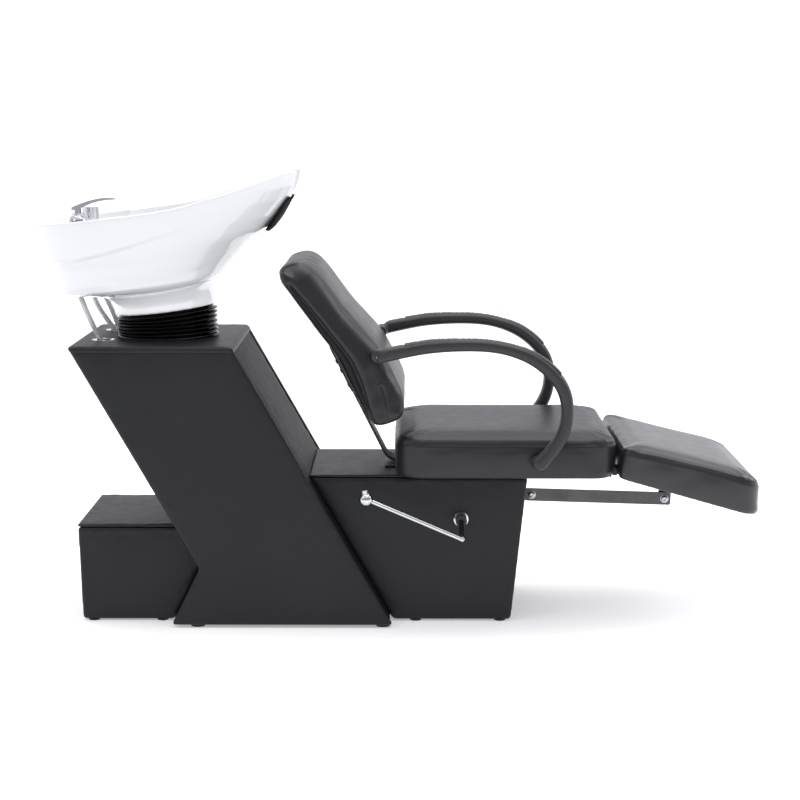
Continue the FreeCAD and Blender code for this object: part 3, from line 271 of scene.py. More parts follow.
def sweep(name, P, radius, segs=20, caps=True, s=None, squash=None):
    """A round tube along points; radius is a number or one for each point. Its UV runs round and along it, in metres."""
    P = np.asarray(P, float)
    if s is None:
        s = np.r_[0, np.cumsum(np.linalg.norm(np.diff(P, axis=0), axis=1))]
    T, U, W = frames(P)
    r = np.broadcast_to(np.asarray(radius, float), (len(P),))
    th = np.linspace(0, 2 * math.pi, segs, endpoint=False)
    ring = U[:, None, :] * np.cos(th)[None, :, None] + W[:, None, :] * np.sin(th)[None, :, None]
    V = (P[:, None, :] + ring * r[:, None, None]).reshape(-1, 3)
    F, n = [], len(P)
    for i in range(n - 1):
        for j in range(segs):
            k = (j + 1) % segs
            F.append((i * segs + j, i * segs + k, (i + 1) * segs + k, (i + 1) * segs + j))
    if caps:
        F.append(tuple(range(segs - 1, -1, -1)))
        F.append(tuple((n - 1) * segs + j for j in range(segs)))
    ob = mesh(name, V, F)
    uv = ob.data.uv_layers.new(name="UVMap")
    li = 0
    for p in ob.data.polygons:
        idx = list(p.vertices)
        js = [v % segs for v in idx]
        wrap = len(idx) == 4 and max(js) - min(js) > 1
        for v in idx:
            j = v % segs
            if wrap and j == 0:
                j = segs
            uv.data[li].uv = (j / segs, s[v // segs])
            li += 1
    return ob


def lathe(name, prof, centre, axis=(0, 0, 1), segs=48, hexed=(), cap_last=True, cap_first=False):
    """Rings (radius, height) round an axis, in millimetres. Rings in hexed are hexagons across that radius."""
    ax = Vector(axis).normalized()
    q = Vector((0, 0, 1)).rotation_difference(ax)
    c = Vector(centre) / 1000
    V, F = [], []
    for i, (r, h) in enumerate(prof):
        for j in range(segs):
            t = 2 * math.pi * j / segs
            rr = r
            if i in hexed:
                rr = r / math.cos((t % (math.pi / 3)) - math.pi / 6)
            V.append(c + q @ Vector((rr * math.cos(t) / 1000, rr * math.sin(t) / 1000, h / 1000)))
    for i in range(len(prof) - 1):
        for j in range(segs):
            k = (j + 1) % segs
            F.append((i * segs + j, i * segs + k, (i + 1) * segs + k, (i + 1) * segs + j))
    n = len(prof)
    if cap_last:
        F.append(tuple((n - 1) * segs + j for j in range(segs)))
    if cap_first:
        F.append(tuple(range(segs - 1, -1, -1)))
    ob = mesh(name, V, F)
    return sharp(ob, 35)


def sharp(ob, angle):
    """Smooth shading with hard edges above an angle."""
    me = ob.data
    bm = bmesh.new()
    bm.from_mesh(me)
    bmesh.ops.recalc_face_normals(bm, faces=bm.faces)
    lim = math.radians(angle)
    for e in bm.edges:
        e.smooth = not (len(e.link_faces) == 2 and e.calc_face_angle(0) > lim)
    bm.to_mesh(me)
    bm.free()
    me.update()
    return ob


def join(name, obs):
    """Several meshes as one."""
    bm = bmesh.new()
    mats = []
    for o in obs:
        base = len(mats)
        for m in o.data.materials:
            mats.append(m)
        n0 = len(bm.faces)
        bm.from_mesh(o.data)
        bm.faces.ensure_lookup_table()
        for f in bm.faces[n0:]:
            f.material_index += base
    me = bpy.data.meshes.new(name)
    bm.to_mesh(me)
    bm.free()
    for m in mats:
        me.materials.append(m)
    for o in obs:
        old = o.data
        bpy.data.objects.remove(o)
        bpy.data.meshes.remove(old)
    ob = link(name, me)
    return ob


def paint(ob, m):
    ob.data.materials.clear()
    ob.data.materials.append(m)
    return ob


# ---------------------------------------------------------------- materials
def shader(name):
    m = bpy.data.materials.new(name)
    m.use_nodes = True
    nt = m.node_tree
    nt.nodes.clear()
    out = nt.nodes.new("ShaderNodeOutputMaterial")
    b = nt.nodes.new("ShaderNodeBsdfPrincipled")
    nt.links.new(b.outputs[0], out.inputs[0])
    return m, nt, b


def node(nt, kind, ins=(), **props):
    n = nt.nodes.new("ShaderNode" + kind)
    for k, v in props.items():
        setattr(n, k, v)
    for k, v in dict(ins).items():
        if isinstance(v, bpy.types.NodeSocket):
            nt.links.new(v, n.inputs[k])
        else:
            n.inputs[k].default_value = v
    return n


def coords(nt, which="Object"):
    return nt.nodes.new("ShaderNodeTexCoord").outputs[which]


def ramp(nt, fac, stops):
    n = nt.nodes.new("ShaderNodeValToRGB")
    nt.links.new(fac, n.inputs[0])
    e = n.color_ramp.elements
    while len(e) < len(stops):
        e.new(0.5)
    for s, (p, c) in zip(e, stops):
        s.position = p
        s.color = (*c, 1) if len(c) == 3 else c
    return n.outputs[0]


def rng(nt, v, a, b, c, d):
    return node(nt, "MapRange", {0: v, 1: a, 2: b, 3: c, 4: d}).outputs[0]


def bump(nt, h, strength, dist, prev=None):
    ins = {"Strength": strength, "Distance": dist, "Height": h}
    if prev is not None:
        ins["Normal"] = prev
    return node(nt, "Bump", ins).outputs[0]


def vinyl(name, base, rough=0.42, grain=1.0, spec=0.42, seed=0.0, sag=1.0):
    m, nt, b = shader(name)
    co = coords(nt)
    mp = node(nt, "Mapping", {"Vector": co, "Location": (seed, seed * 0.7, -seed)}).outputs[0]
    big = node(nt, "TexNoise", {"Vector": mp, "Scale": 4.0, "Detail": 3.0, "Roughness": 0.6}).outputs[0]
    mid = node(nt, "TexNoise", {"Vector": mp, "Scale": 34.0, "Detail": 4.0, "Roughness": 0.55}).outputs[0]
    fine = node(nt, "TexNoise", {"Vector": mp, "Scale": 900.0, "Detail": 2.0}).outputs[0]
    cell = node(nt, "TexVoronoi", {"Vector": mp, "Scale": 620.0 / grain}, feature="DISTANCE_TO_EDGE").outputs[0]
    cell = rng(nt, cell, 0.0, 0.16, 0.0, 1.0)
    wear = node(nt, "NewGeometry").outputs["Pointiness"]
    edge = rng(nt, wear, 0.515, 0.60, 0.0, 1.0)
    lo = tuple(c * 0.86 for c in base)
    hi = tuple(min(1, c * 1.13) for c in base)
    col = ramp(nt, big, [(0.3, lo), (0.72, hi)])
    rub = tuple(min(1, c * 1.55 + 0.008) for c in base)
    k = node(nt, "Mix", {0: edge, 6: col, 7: (*rub, 1)}, data_type="RGBA")
    pore = node(nt, "Mix", {0: rng(nt, cell, 0.0, 0.7, 0.30, 0.0), 6: k.outputs[2], 7: (base[0] * 0.5, base[1] * 0.5, base[2] * 0.5, 1)}, data_type="RGBA")
    nt.links.new(pore.outputs[2], b.inputs["Base Color"])
    nt.links.new(rng(nt, mid, 0.3, 0.7, rough - 0.02, rough + 0.04), b.inputs["Roughness"])
    b.inputs["Specular IOR Level"].default_value = spec
    n1 = bump(nt, big, 0.06 * sag, 0.006)
    n2 = bump(nt, mid, 0.04 * sag, 0.0010, n1)
    n3 = bump(nt, cell, 0.13, 0.00014, n2)
    n4 = bump(nt, fine, 0.08, 0.00008, n3)
    nt.links.new(n4, b.inputs["Normal"])
    return m


def rubber(name, base, rough, spec=0.5, fine=700.0, strength=0.25, coat=0.0):
    m, nt, b = shader(name)
    co = coords(nt)
    a = node(nt, "TexNoise", {"Vector": co, "Scale": 18.0, "Detail": 4.0}).outputs[0]
    f = node(nt, "TexNoise", {"Vector": co, "Scale": fine, "Detail": 3.0}).outputs[0]
    nt.links.new(ramp(nt, a, [(0.3, tuple(c * 0.8 for c in base)), (0.75, tuple(min(1, c * 1.3 + 0.001) for c in base))]), b.inputs["Base Color"])
    nt.links.new(rng(nt, a, 0.3, 0.7, rough - 0.04, rough + 0.08), b.inputs["Roughness"])
    b.inputs["Specular IOR Level"].default_value = spec
    b.inputs["Coat Weight"].default_value = coat
    b.inputs["Coat Roughness"].default_value = 0.12
    nt.links.new(bump(nt, f, strength, 0.0001, bump(nt, a, 0.15, 0.002)), b.inputs["Normal"])
    return m


def metal(name, base, rough, metallic=1.0, scratch=0.12, tint=None, grain=(1.0, 1.0, 1.0), spots=0.0):
    m, nt, b = shader(name)
    co = coords(nt)
    mp = node(nt, "Mapping", {"Vector": co, "Scale": grain}).outputs[0]
    a = node(nt, "TexNoise", {"Vector": co, "Scale": 22.0, "Detail": 5.0}).outputs[0]
    f = node(nt, "TexNoise", {"Vector": mp, "Scale": 420.0, "Detail": 4.0}).outputs[0]
    lo = tuple(c * (0.86 - spots) for c in base)
    hi = tuple(min(1, c * 1.08) for c in base)
    nt.links.new(ramp(nt, a, [(0.32, lo), (0.62, hi)]), b.inputs["Base Color"])
    b.inputs["Metallic"].default_value = metallic
    nt.links.new(rng(nt, f, 0.3, 0.7, max(0.02, rough - 0.03), rough + 0.06), b.inputs["Roughness"])
    nt.links.new(bump(nt, f, scratch, 0.00005), b.inputs["Normal"])
    return m


VINYL = (0.0130, 0.0135, 0.0165)
m_vinyl = vinyl("black_vinyl", VINYL, spec=0.275, sag=0.5)
m_vinyl_front = vinyl("black_vinyl_front", VINYL, spec=0.125, rough=0.50, seed=5.3, sag=0.4)
m_vinyl_cushion = vinyl("black_vinyl_cushion", (0.0160, 0.0165, 0.0195), rough=0.36, spec=0.40, seed=3.1, sag=0.35)
m_vinyl_leg = vinyl("black_vinyl_leg_rest", (0.0135, 0.0139, 0.0168), rough=0.34, spec=0.38, seed=4.4, sag=0.3)
leg_skin = [n_ for n_ in m_vinyl_leg.node_tree.nodes if n_.type == "BSDF_PRINCIPLED"][0]
leg_skin.inputs["Coat Weight"].default_value = 0.40
leg_skin.inputs["Coat Roughness"].default_value = 0.22
m_vinyl_back = vinyl("black_vinyl_backrest", (0.0150, 0.0152, 0.0180), rough=0.36, spec=0.38, seed=7.7, sag=0.6)
# a darker, duller copy of the backrest vinyl: painted shade for the back shell behind the front pad
m_vinyl_shell_painted_shade = vinyl("black_vinyl_shell_painted_shade", (0.0075, 0.0078, 0.0095), rough=0.46, spec=0.22, seed=2.2, sag=0.4)
m_pu = vinyl("polyurethane_skin", (0.028, 0.028, 0.031), rough=0.44, grain=0.7, seed=1.7, sag=0.5)
m_rubber = rubber("black_rubber", (0.003, 0.003, 0.0035), 0.18, 0.17, coat=0.04)
m_gel = rubber("neck_rest_rubber", (0.0006, 0.0006, 0.0008), 0.50, 0.02)
m_glide = rubber("glide_rubber", (0.018, 0.018, 0.019), 0.55)
m_powder = rubber("black_steel", (0.012, 0.012, 0.013), 0.38, 0.5, fine=1300.0, strength=0.5)
m_zinc = metal("zinc_steel", (0.60, 0.61, 0.63), 0.30, scratch=0.3, spots=0.10)
m_link = metal("link_steel", (0.105, 0.102, 0.104), 0.42, metallic=0.75, scratch=0.35, grain=(0.05, 1, 1), spots=0.08)
m_chrome = metal("chrome", (0.57, 0.58, 0.60), 0.06, scratch=0.03)
m_black_plastic = rubber("black_plastic", (0.010, 0.010, 0.010), 0.30)


def ceramic():
    m, nt, b = shader("glazed_white")
    co = coords(nt)
    a = node(nt, "TexNoise", {"Vector": co, "Scale": 5.0, "Detail": 2.0}).outputs[0]
    f = node(nt, "TexNoise", {"Vector": co, "Scale": 60.0, "Detail": 3.0}).outputs[0]
    speck = node(nt, "TexVoronoi", {"Vector": co, "Scale": 240.0}, feature="F1").outputs[0]
    pin = rng(nt, speck, 0.0, 0.045, 0.20, 0.0)
    col = ramp(nt, a, [(0.3, (0.640, 0.648, 0.668)), (0.7, (0.655, 0.660, 0.675))])
    # Painted light: the glaze glows by emission everywhere (0.20), glows more on the foot below the fold line (up to
    # 0.42), and glows less on faces turned down (painted shade)
    xyz = node(nt, "SeparateXYZ", {"Vector": co})
    fold = rng(nt, xyz.outputs[0], -0.60, -0.40, 0.757, 0.792)
    below = node(nt, "Math", {0: fold, 1: xyz.outputs[2]}, operation="SUBTRACT").outputs[0]
    foot = rng(nt, below, -0.002, 0.006, 0.0, 1.0)
    nz = node(nt, "SeparateXYZ", {"Vector": node(nt, "NewGeometry").outputs["Normal"]}).outputs[2]
    down = rng(nt, nz, -0.80, -0.10, 1.0, 0.0)
    painted_glow = node(nt, "Math", {0: rng(nt, foot, 0.0, 1.0, 0.20, 0.42), 1: rng(nt, down, 0.0, 1.0, 0.0, 0.20)}, operation="SUBTRACT").outputs[0]
    nt.links.new(painted_glow, b.inputs["Emission Strength"])
    b.inputs["Emission Color"].default_value = (0.97, 0.98, 1.0, 1)
    k = node(nt, "Mix", {0: pin, 6: col, 7: (0.62, 0.62, 0.60, 1)}, data_type="RGBA")
    nt.links.new(k.outputs[2], b.inputs["Base Color"])
    nt.links.new(rng(nt, f, 0.3, 0.7, 0.05, 0.10), b.inputs["Roughness"])
    b.inputs["Specular IOR Level"].default_value = 0.5
    b.inputs["Coat Weight"].default_value = 0.6
    b.inputs["Coat Roughness"].default_value = 0.04
    nt.links.new(bump(nt, f, 0.05, 0.0008, bump(nt, a, 0.08, 0.004)), b.inputs["Normal"])
    return m


def plywood():
    m, nt, b = shader("plywood")
    co = coords(nt)
    st = node(nt, "Mapping", {"Vector": co, "Scale": (1.0, 9.0, 9.0)}).outputs[0]
    n = node(nt, "TexNoise", {"Vector": st, "Scale": 9.0, "Detail": 6.0, "Distortion": 0.6}).outputs[0]
    w = node(nt, "TexWave", {"Vector": st, "Scale": 2.2, "Distortion": 6.0, "Detail": 3.0}, wave_type="BANDS", bands_direction="Z").outputs[0]
    mix = node(nt, "Math", {0: n, 1: w}, operation="ADD").outputs[0]
    nt.links.new(ramp(nt, mix, [(0.35, (0.33, 0.21, 0.11)), (0.8, (0.52, 0.37, 0.21)), (1.0, (0.60, 0.45, 0.28))]), b.inputs["Base Color"])
    b.inputs["Roughness"].default_value = 0.65
    nt.links.new(bump(nt, mix, 0.25, 0.0006), b.inputs["Normal"])
    return m


def braid(name="braided_hose", scale=1.0, dark=0.10):
    """Woven wire, laid in two crossing directions over the tube's UV."""
    m, nt, b = shader(name)
    uv = coords(nt, "UV")
    sep = node(nt, "SeparateXYZ", {0: uv})
    u, v = sep.outputs[0], sep.outputs[1]

    def wave(sign):
        a = node(nt, "Math", {0: u, 1: 12.0}, operation="MULTIPLY").outputs[0]
        c = node(nt, "Math", {0: v, 1: sign * 260.0 * scale}, operation="MULTIPLY").outputs[0]
        s = node(nt, "Math", {0: a, 1: c}, operation="ADD").outputs[0]
        return node(nt, "Math", {0: s, 1: 0.5}, operation="PINGPONG").outputs[0]

    w1, w2 = wave(1.0), wave(-1.0)
    hi = node(nt, "Math", {0: w1, 1: w2}, operation="MAXIMUM").outputs[0]
    h = rng(nt, hi, 0.12, 0.5, 0.0, 1.0)
    nt.links.new(ramp(nt, h, [(0.0, (dark, dark, dark * 1.05)), (0.45, (0.55, 0.56, 0.58)), (1.0, (0.82, 0.83, 0.85))]), b.inputs["Base Color"])
    b.inputs["Metallic"].default_value = 1.0
    b.inputs["Roughness"].default_value = 0.24
    nt.links.new(bump(nt, h, 0.8, 0.0006), b.inputs["Normal"])
    return m


def plastic(name, base, rough):
    m, nt, b = shader(name)
    co = coords(nt)
    a = node(nt, "TexNoise", {"Vector": co, "Scale": 30.0, "Detail": 5.0}).outputs[0]
    f = node(nt, "TexNoise", {"Vector": co, "Scale": 800.0}).outputs[0]
    nt.links.new(ramp(nt, a, [(0.3, tuple(c * 0.9 for c in base)), (0.7, tuple(min(1, c * 1.08) for c in base))]), b.inputs["Base Color"])
    nt.links.new(rng(nt, a, 0.3, 0.7, rough - 0.05, rough + 0.08), b.inputs["Roughness"])
    nt.links.new(bump(nt, f, 0.2, 0.0001), b.inputs["Normal"])
    return m


m_ceramic, m_ply, m_braid = ceramic(), plywood(), braid()
m_grey = plastic("grey_plastic", (0.22, 0.225, 0.23), 0.45)


def lever_finish():
    """Chromed rod on a black stub."""
    m, nt, b = shader("lever_finish")
    co = coords(nt)
    a = node(nt, "TexNoise", {"Vector": co, "Scale": 40.0, "Detail": 3.0}).outputs[0]
    sy = node(nt, "SeparateXYZ", {0: co}).outputs[1]
    k = rng(nt, sy, -0.2655, -0.2645, 0.0, 1.0)
    light = ramp(nt, a, [(0.3, (0.60, 0.61, 0.63)), (0.7, (0.68, 0.69, 0.71))])
    dark = ramp(nt, a, [(0.3, (0.010, 0.010, 0.011)), (0.7, (0.016, 0.016, 0.017))])
    mix = node(nt, "Mix", {0: k, 6: light, 7: dark}, data_type="RGBA")
    nt.links.new(mix.outputs[2], b.inputs["Base Color"])
    nt.links.new(rng(nt, k, 0.0, 1.0, 1.0, 0.0), b.inputs["Metallic"])
    nt.links.new(rng(nt, k, 0.0, 1.0, 0.07, 0.42), b.inputs["Roughness"])
    nt.links.new(bump(nt, a, 0.05, 0.0002), b.inputs["Normal"])
    return m


m_lever = lever_finish()

# every CAD node gets its finish; the ones replaced below are hidden
FINISH = {
    m_ply: ["pedestal_top_board", "seat_frame", "leg_rest_board"],
    m_vinyl: ["pedestal_base_board", "front_box_floor", "pedestal_right_panel", "pedestal_left_panel", "pedestal_front_panel", "pedestal_rear_panel", "pedestal_rear_lower_panel",
              "rear_box_sides", "rear_box_lid", "rear_box_back_panel", "front_box_sides", "front_box_lid", "front_box_front_panel",
              "seat_cushion", "backrest_cushion", "backrest_rear_panel", "leg_rest_cushion"],
    m_pu: ["armrest_right", "armrest_left"],
    m_ceramic: ["basin"],
    m_gel: ["neck_rest"],
    m_rubber: ["bellows"],
    m_glide: ["floor_glides"],
    # backrest_frame takes the black finish so that, where it shows beside the armrest boss, it stands in as painted
    # shade
    m_powder: ["backrest_frame", "seat_mounting_plate", "seat_rails", "back_bracket", "leg_rest_hinge_plate", "leg_rest_hinge_leaves", "leg_rest_bracket", "crank_arm",
               "shaft_bearing_bracket", "basin_tilt_bracket", "basin_tilt_stand"],
    m_link: ["link_bar"],
    m_zinc: ["back_bracket_bolts", "armrest_bolts", "link_bolts", "lever_shaft", "hose_unions"],
    m_chrome: ["hose_grommets", "lever_bush", "lever_knob", "drain_flange", "drain_strainer", "mixer_body", "mixer_stem", "mixer_lever",
               "spray_holder", "spray_head"],
    m_lever: ["lever_rod"],
    m_braid: ["supply_hose_cold", "supply_hose_hot", "spray_hose"],
    m_grey: ["drain_tail", "waste_hose", "waste_outlet"],
}
for m, names in FINISH.items():
    for n in names:
        NODE[n].data.materials.clear()
        NODE[n].data.materials.append(m)


# ---------------------------------------------------------------- upholstered boards
def puff(ob, sel, d, amp, soft, seed, ripple=0.35):
    """Foam under the vinyl: a face swells away from its edges, with small puckers close to them."""
    co, n = get(ob), nrm(ob)
    lift = amp * (1 - np.exp(-((d / soft) ** 2)))
    puck = ripple * np.exp(-(((d - 0.012) / 0.012) ** 2)) * wob(co, seed, 0.030)
    slow = 0.5 * amp * wob(co, seed + 9, 0.22) * ss(d, 0.01, 0.08)
    put(ob, co + n * (sel * (lift + puck + slow * 0.5) / 1000)[:, None])


def board(name, pts, y0, y1, bevel, vox=0.004, smooth=6, face=None, amp=1.6, soft=0.03, seed=1, body="base", stands=(), m=None, cutter=None, ripple=0.35):
    ob = prism(name, pts, y0, y1, bevel)
    remesh(ob, vox, smooth)
    co, n = get(ob), nrm(ob)
    P2 = co[:, [0, 2]] * 1000
    if face in ("side", "both"):
        d = polydist(P2, pts, True) / 1000
        yy = co[:, 1] * 1000
        sel = ss(np.abs(n[:, 1]), 0.6, 0.95)
        if face == "side":
            out = -1 if abs(y0) > abs(y1) else 1
            sel = sel * (np.sign(n[:, 1]) == out)
        puff(ob, sel, d, amp, soft, seed, ripple)
    elif face is not None:
        # a sloping or level face: face is (nx, nz) and its two end points along the slope
        nx, nz, a, b = face
        e = np.array(b, float) - np.array(a, float)
        L = np.linalg.norm(e)
        u = ((P2 - np.array(a)) @ (e / L))
        v = co[:, 1] * 1000
        d = np.minimum(np.minimum(u, L - u), np.minimum(v - y0, y1 - v)).clip(0) / 1000
        sel = ss(n[:, 0] * nx + n[:, 2] * nz, 0.6, 0.95)
        puff(ob, sel, d, amp, soft, seed, ripple)
    paint(ob, m or m_vinyl)
    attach(ob, body)
    if stands:
        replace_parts(ob, *stands)
    return ob


def fx(z, i=0.0):
    return -356 + (650 - z) * 0.56522 - 3.45 - i * 1.149


def rx(z, i=0.0):
    return -724 + (650 - z) * 0.56556 + 3.42 + i * 1.141


def lx(z, i=0.0):
    return -435 - (139 - z) * 0.49624 + 3.35 + i * 1.116


def edge_x(z, top, m):
    return top + (650 - z) * m


SEAM = 643.0
side = [(edge_x(SEAM, -724, 0.56556), SEAM), (-435, 139), (-501, 6), (8, 6), (edge_x(SEAM, -356, 0.56522), SEAM)]
board("pedestal_side_cover_right", side, -226, -206.6, 5.5, face="side", amp=1.7, seed=11, stands=["pedestal_right_panel"])
board("pedestal_side_cover_left", side, 206.6, 226, 5.5, face="side", amp=1.7, seed=12, stands=["pedestal_left_panel"])

# the top cover rolls over all four edges and ends in a seam on the sides
tz0 = 633.0
top = prism("pedestal_top_cover", [(-724.8, 650), (edge_x(tz0, -724.8, 0.56556), tz0), (edge_x(tz0, -355.2, 0.56522), tz0), (-355.2, 650)], -226.8, 226.8, 7.8, 5)
remesh(top, 0.0030, 6)
co, n = get(top), nrm(top)
d = np.minimum(np.minimum(co[:, 0] + 0.724, -0.356 - co[:, 0]), 0.226 - np.abs(co[:, 1])).clip(0)
puff(top, ss(n[:, 2], 0.6, 0.95), d, 0.9, 0.03, 21, 0.25)
bm = bmesh.new()
bm.from_mesh(top.data)
kill = [f for f in bm.faces if any(math.hypot(f.calc_center_median().x - hx, f.calc_center_median().y - hy) < hr
                                   for hx, hy, hr in ((-0.661, -0.097, 0.0175), (-0.661, 0.097, 0.0175), (-0.566, 0.0, 0.050)))]
bmesh.ops.delete(bm, geom=kill, context="FACES")
bm.to_mesh(top.data)
bm.free()
paint(top, m_vinyl)
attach(top, "base")
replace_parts(top, "pedestal_top_board")

zt_ = SEAM - 1.0
board("pedestal_front_cover", [(fx(zt_), zt_), (fx(7), 7), (fx(7, 16), 7), (fx(zt_, 16), zt_)], -205.6, 205.6, 7.4,
      face=(0.870, 0.492, (fx(7), 7), (fx(zt_), zt_)), amp=1.8, seed=31, stands=["pedestal_front_panel"], m=m_vinyl_front)
board("pedestal_rear_cover", [(rx(zt_), zt_), (rx(142), 142), (rx(142, 16), 142), (rx(zt_, 16), zt_)], -205.6, 205.6, 4.0,
      face=(-0.876, -0.482, (rx(142), 142), (rx(zt_), zt_)), amp=1.8, seed=32, stands=["pedestal_rear_panel"])
low = board("pedestal_rear_lower_cover", [(lx(137), 137), (lx(7), 7), (lx(7, 16), 7), (lx(137, 16), 137)], -205.6, 205.6, 4.0,
            face=(-0.896, 0.445, (lx(7), 7), (lx(137), 137)), amp=1.0, seed=33, stands=["pedestal_rear_lower_panel"])
bm = bmesh.new()
bm.from_mesh(low.data)
bmesh.ops.delete(bm, geom=[f for f in bm.faces if math.hypot(f.calc_center_median().y, f.calc_center_median().z - 0.074) < 0.0340], context="FACES")
bm.to_mesh(low.data)
bm.free()

# boxes: side boards up to the seam, a lid cover over them
RS = 222.5
rside = [(-721.4, RS), (-714.8, 4), (lx(4) - 1.5, 4), (-433.4, 140), (rx(RS) - 1.5, RS)]
r1 = board("rear_box_side_right", rside, -165, -150, 5.0, face="side", amp=2.6, soft=0.045, seed=41, ripple=0.6)
r2 = board("rear_box_side_left", rside, 150, 165, 5.0, face="side", amp=2.6, soft=0.045, seed=42, ripple=0.6)
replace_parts(r1, "rear_box_sides")
lid = board("rear_box_lid_cover", [(-721.6, 230), (-721.4, RS + 0.4), (rx(RS + 0.4) - 1.5, RS + 0.4), (rx(230) - 1.5, 230)], -165, 165, 2.6, vox=0.003, smooth=3,
            face=(0, 1, (-721.6, 230), (rx(230) - 1.5, 230)), amp=1.0, soft=0.04, seed=43, stands=["rear_box_lid"], ripple=0.5)
bk = board("rear_box_back_cover", [(-720.4, RS - 0.5), (-713.9, 4.5), (-698.5, 4.5), (-705, RS - 0.5)], -149.6, 149.6, 4.0,
           face=(-1, 0, (-713.9, 4.5), (-720.4, RS - 0.5)), amp=2.0, soft=0.04, seed=44, stands=["rear_box_back_panel"])
bm = bmesh.new()
bm.from_mesh(bk.data)
bmesh.ops.delete(bm, geom=[f for f in bm.faces if abs(f.calc_center_median().y) < 0.080 and f.calc_center_median().z < 0.088], context="FACES")
bm.to_mesh(bk.data)
bm.free()

FS = 340.5
slope = 35.0 / 342.0


def bx(z, i=0.0):
    return 315 - (346 - z) * slope - i


fside = [(fx(FS) + 1, FS), (fx(4) + 1, 4), (281.5, 4), (bx(FS) + 3.2, FS)]
f1 = prism("front_box_side_right", fside, -165, -150, 5.0)
remesh(f1, 0.004, 6)
co, n = get(f1), nrm(f1)
puff(f1, ss(-n[:, 1], 0.6, 0.95), polydist(co[:, [0, 2]] * 1000, fside, True) / 1000, 1.8, 0.035, 51)
bm = bmesh.new()
bm.from_mesh(f1.data)
bmesh.ops.delete(bm, geom=[f for f in bm.faces if math.hypot(f.calc_center_median().x - 0.1644, f.calc_center_median().z - 0.2433) < 0.0125], context="FACES")
bm.to_mesh(f1.data)
bm.free()
paint(f1, m_vinyl)
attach(f1, "base")
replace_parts(f1, "front_box_sides")
board("front_box_side_left", fside, 150, 165, 5.0, face="side", amp=1.8, seed=52)
board("front_box_lid_cover", [(fx(346) + 1, 346), (fx(FS + 0.4) + 1, FS + 0.4), (bx(FS + 0.4) + 3.2, FS + 0.4), (318.6, 346.4)], -165, 165, 2.6, vox=0.003, smooth=3,
      face=(0, 1, (fx(346) + 1, 346), (318, 346)), amp=0.25, soft=0.03, seed=53, stands=["front_box_lid"], ripple=0.15)
fp = board("front_box_front_cover", [(bx(FS - 0.5, -2.4), FS - 0.5), (bx(FS - 0.5, 13.6), FS - 0.5), (bx(4.5, 14.6), 4.5), (bx(4.5, -0.8), 4.5)], -149.6, 149.6, 4.0,
           face=(0.995, -0.1, (bx(4.5), 4.5), (bx(FS - 0.5), FS - 0.5)), amp=1.6, soft=0.03, seed=54, stands=["front_box_front_panel"])
slot_box = prism("slot_cutter", [(240, 70), (345, 70), (345, 290), (240, 290)], -32, 32)
bo = fp.modifiers.new("slot", "BOOLEAN")
bo.operation = "DIFFERENCE"
bo.solver = "EXACT"
bo.object = slot_box
par = fp.parent
bake(fp)
sc = slot_box.data
bpy.data.objects.remove(slot_box)
bpy.data.meshes.remove(sc)


# ---------------------------------------------------------------- cushions
def inflate(ob, pin, pressure=4.0, cap=0.008, frames_=20, mass=0.3, stiff=15.0, bend=0.5):
    """Lets the cover swell between its held lines, and limits how far each point moves."""
    start = get(ob)
    g = ob.vertex_groups.new(name="held")
    for w in np.unique(np.round(pin, 1)):
        if w > 0:
            g.add([int(i) for i in np.where(np.round(pin, 1) == w)[0]], float(w), "REPLACE")
    c = ob.modifiers.new("cloth", "CLOTH")
    st = c.settings
    st.quality = 4
    st.mass = mass
    st.tension_stiffness = st.compression_stiffness = stiff
    st.shear_stiffness = stiff
    st.bending_stiffness = bend
    st.use_pressure = True
    st.uniform_pressure_force = pressure
    st.vertex_group_mass = "held"
    st.effector_weights.gravity = 0
    c.collision_settings.use_collision = False
    c.collision_settings.use_self_collision = False
    c.point_cache.frame_start, c.point_cache.frame_end = 1, frames_
    sc_ = bpy.context.scene
    for f in range(1, frames_ + 1):
        sc_.frame_set(f)
    dg = bpy.context.evaluated_depsgraph_get()
    e = ob.evaluated_get(dg)
    end = np.empty(len(e.data.vertices) * 3)
    e.data.vertices.foreach_get("co", end)
    end = end.reshape(-1, 3)
    ob.modifiers.clear()
    ob.vertex_groups.clear()
    sc_.frame_set(1)
    mv = end - start
    ln = np.linalg.norm(mv, axis=1)
    keep = cap * np.tanh(ln / cap) / np.maximum(ln, 1e-9)
    put(ob, start + mv * keep[:, None])
    return ob


def groove(ob, d, sel, width, depth, lip=0.35):
    """A sewn line: the cover dips at distance 0 and swells a little beside it."""
    co, n = get(ob), nrm(ob)
    g = -depth * np.exp(-((d / width) ** 2)) + lip * depth * np.exp(-(((d - 2.4 * width) / (1.3 * width)) ** 2))
    put(ob, co + n * (sel * g)[:, None])


def rounded_plan(x0, x1, hw, r_rear, r_front, k=8):
    """A closed plan outline with its own corner radius at the rear and front."""
    pts = []
    for cx, cy, r, a0 in ((x1 - r_front, hw - r_front, r_front, 0), (x0 + r_rear, hw - r_rear, r_rear, 90),
                          (x0 + r_rear, -hw + r_rear, r_rear, 180), (x1 - r_front, -hw + r_front, r_front, 270)):
        for i in range(k + 1):
            a = math.radians(a0 + 90 * i / k)
            pts.append((cx + r * math.cos(a), cy + r * math.sin(a)))
    return pts


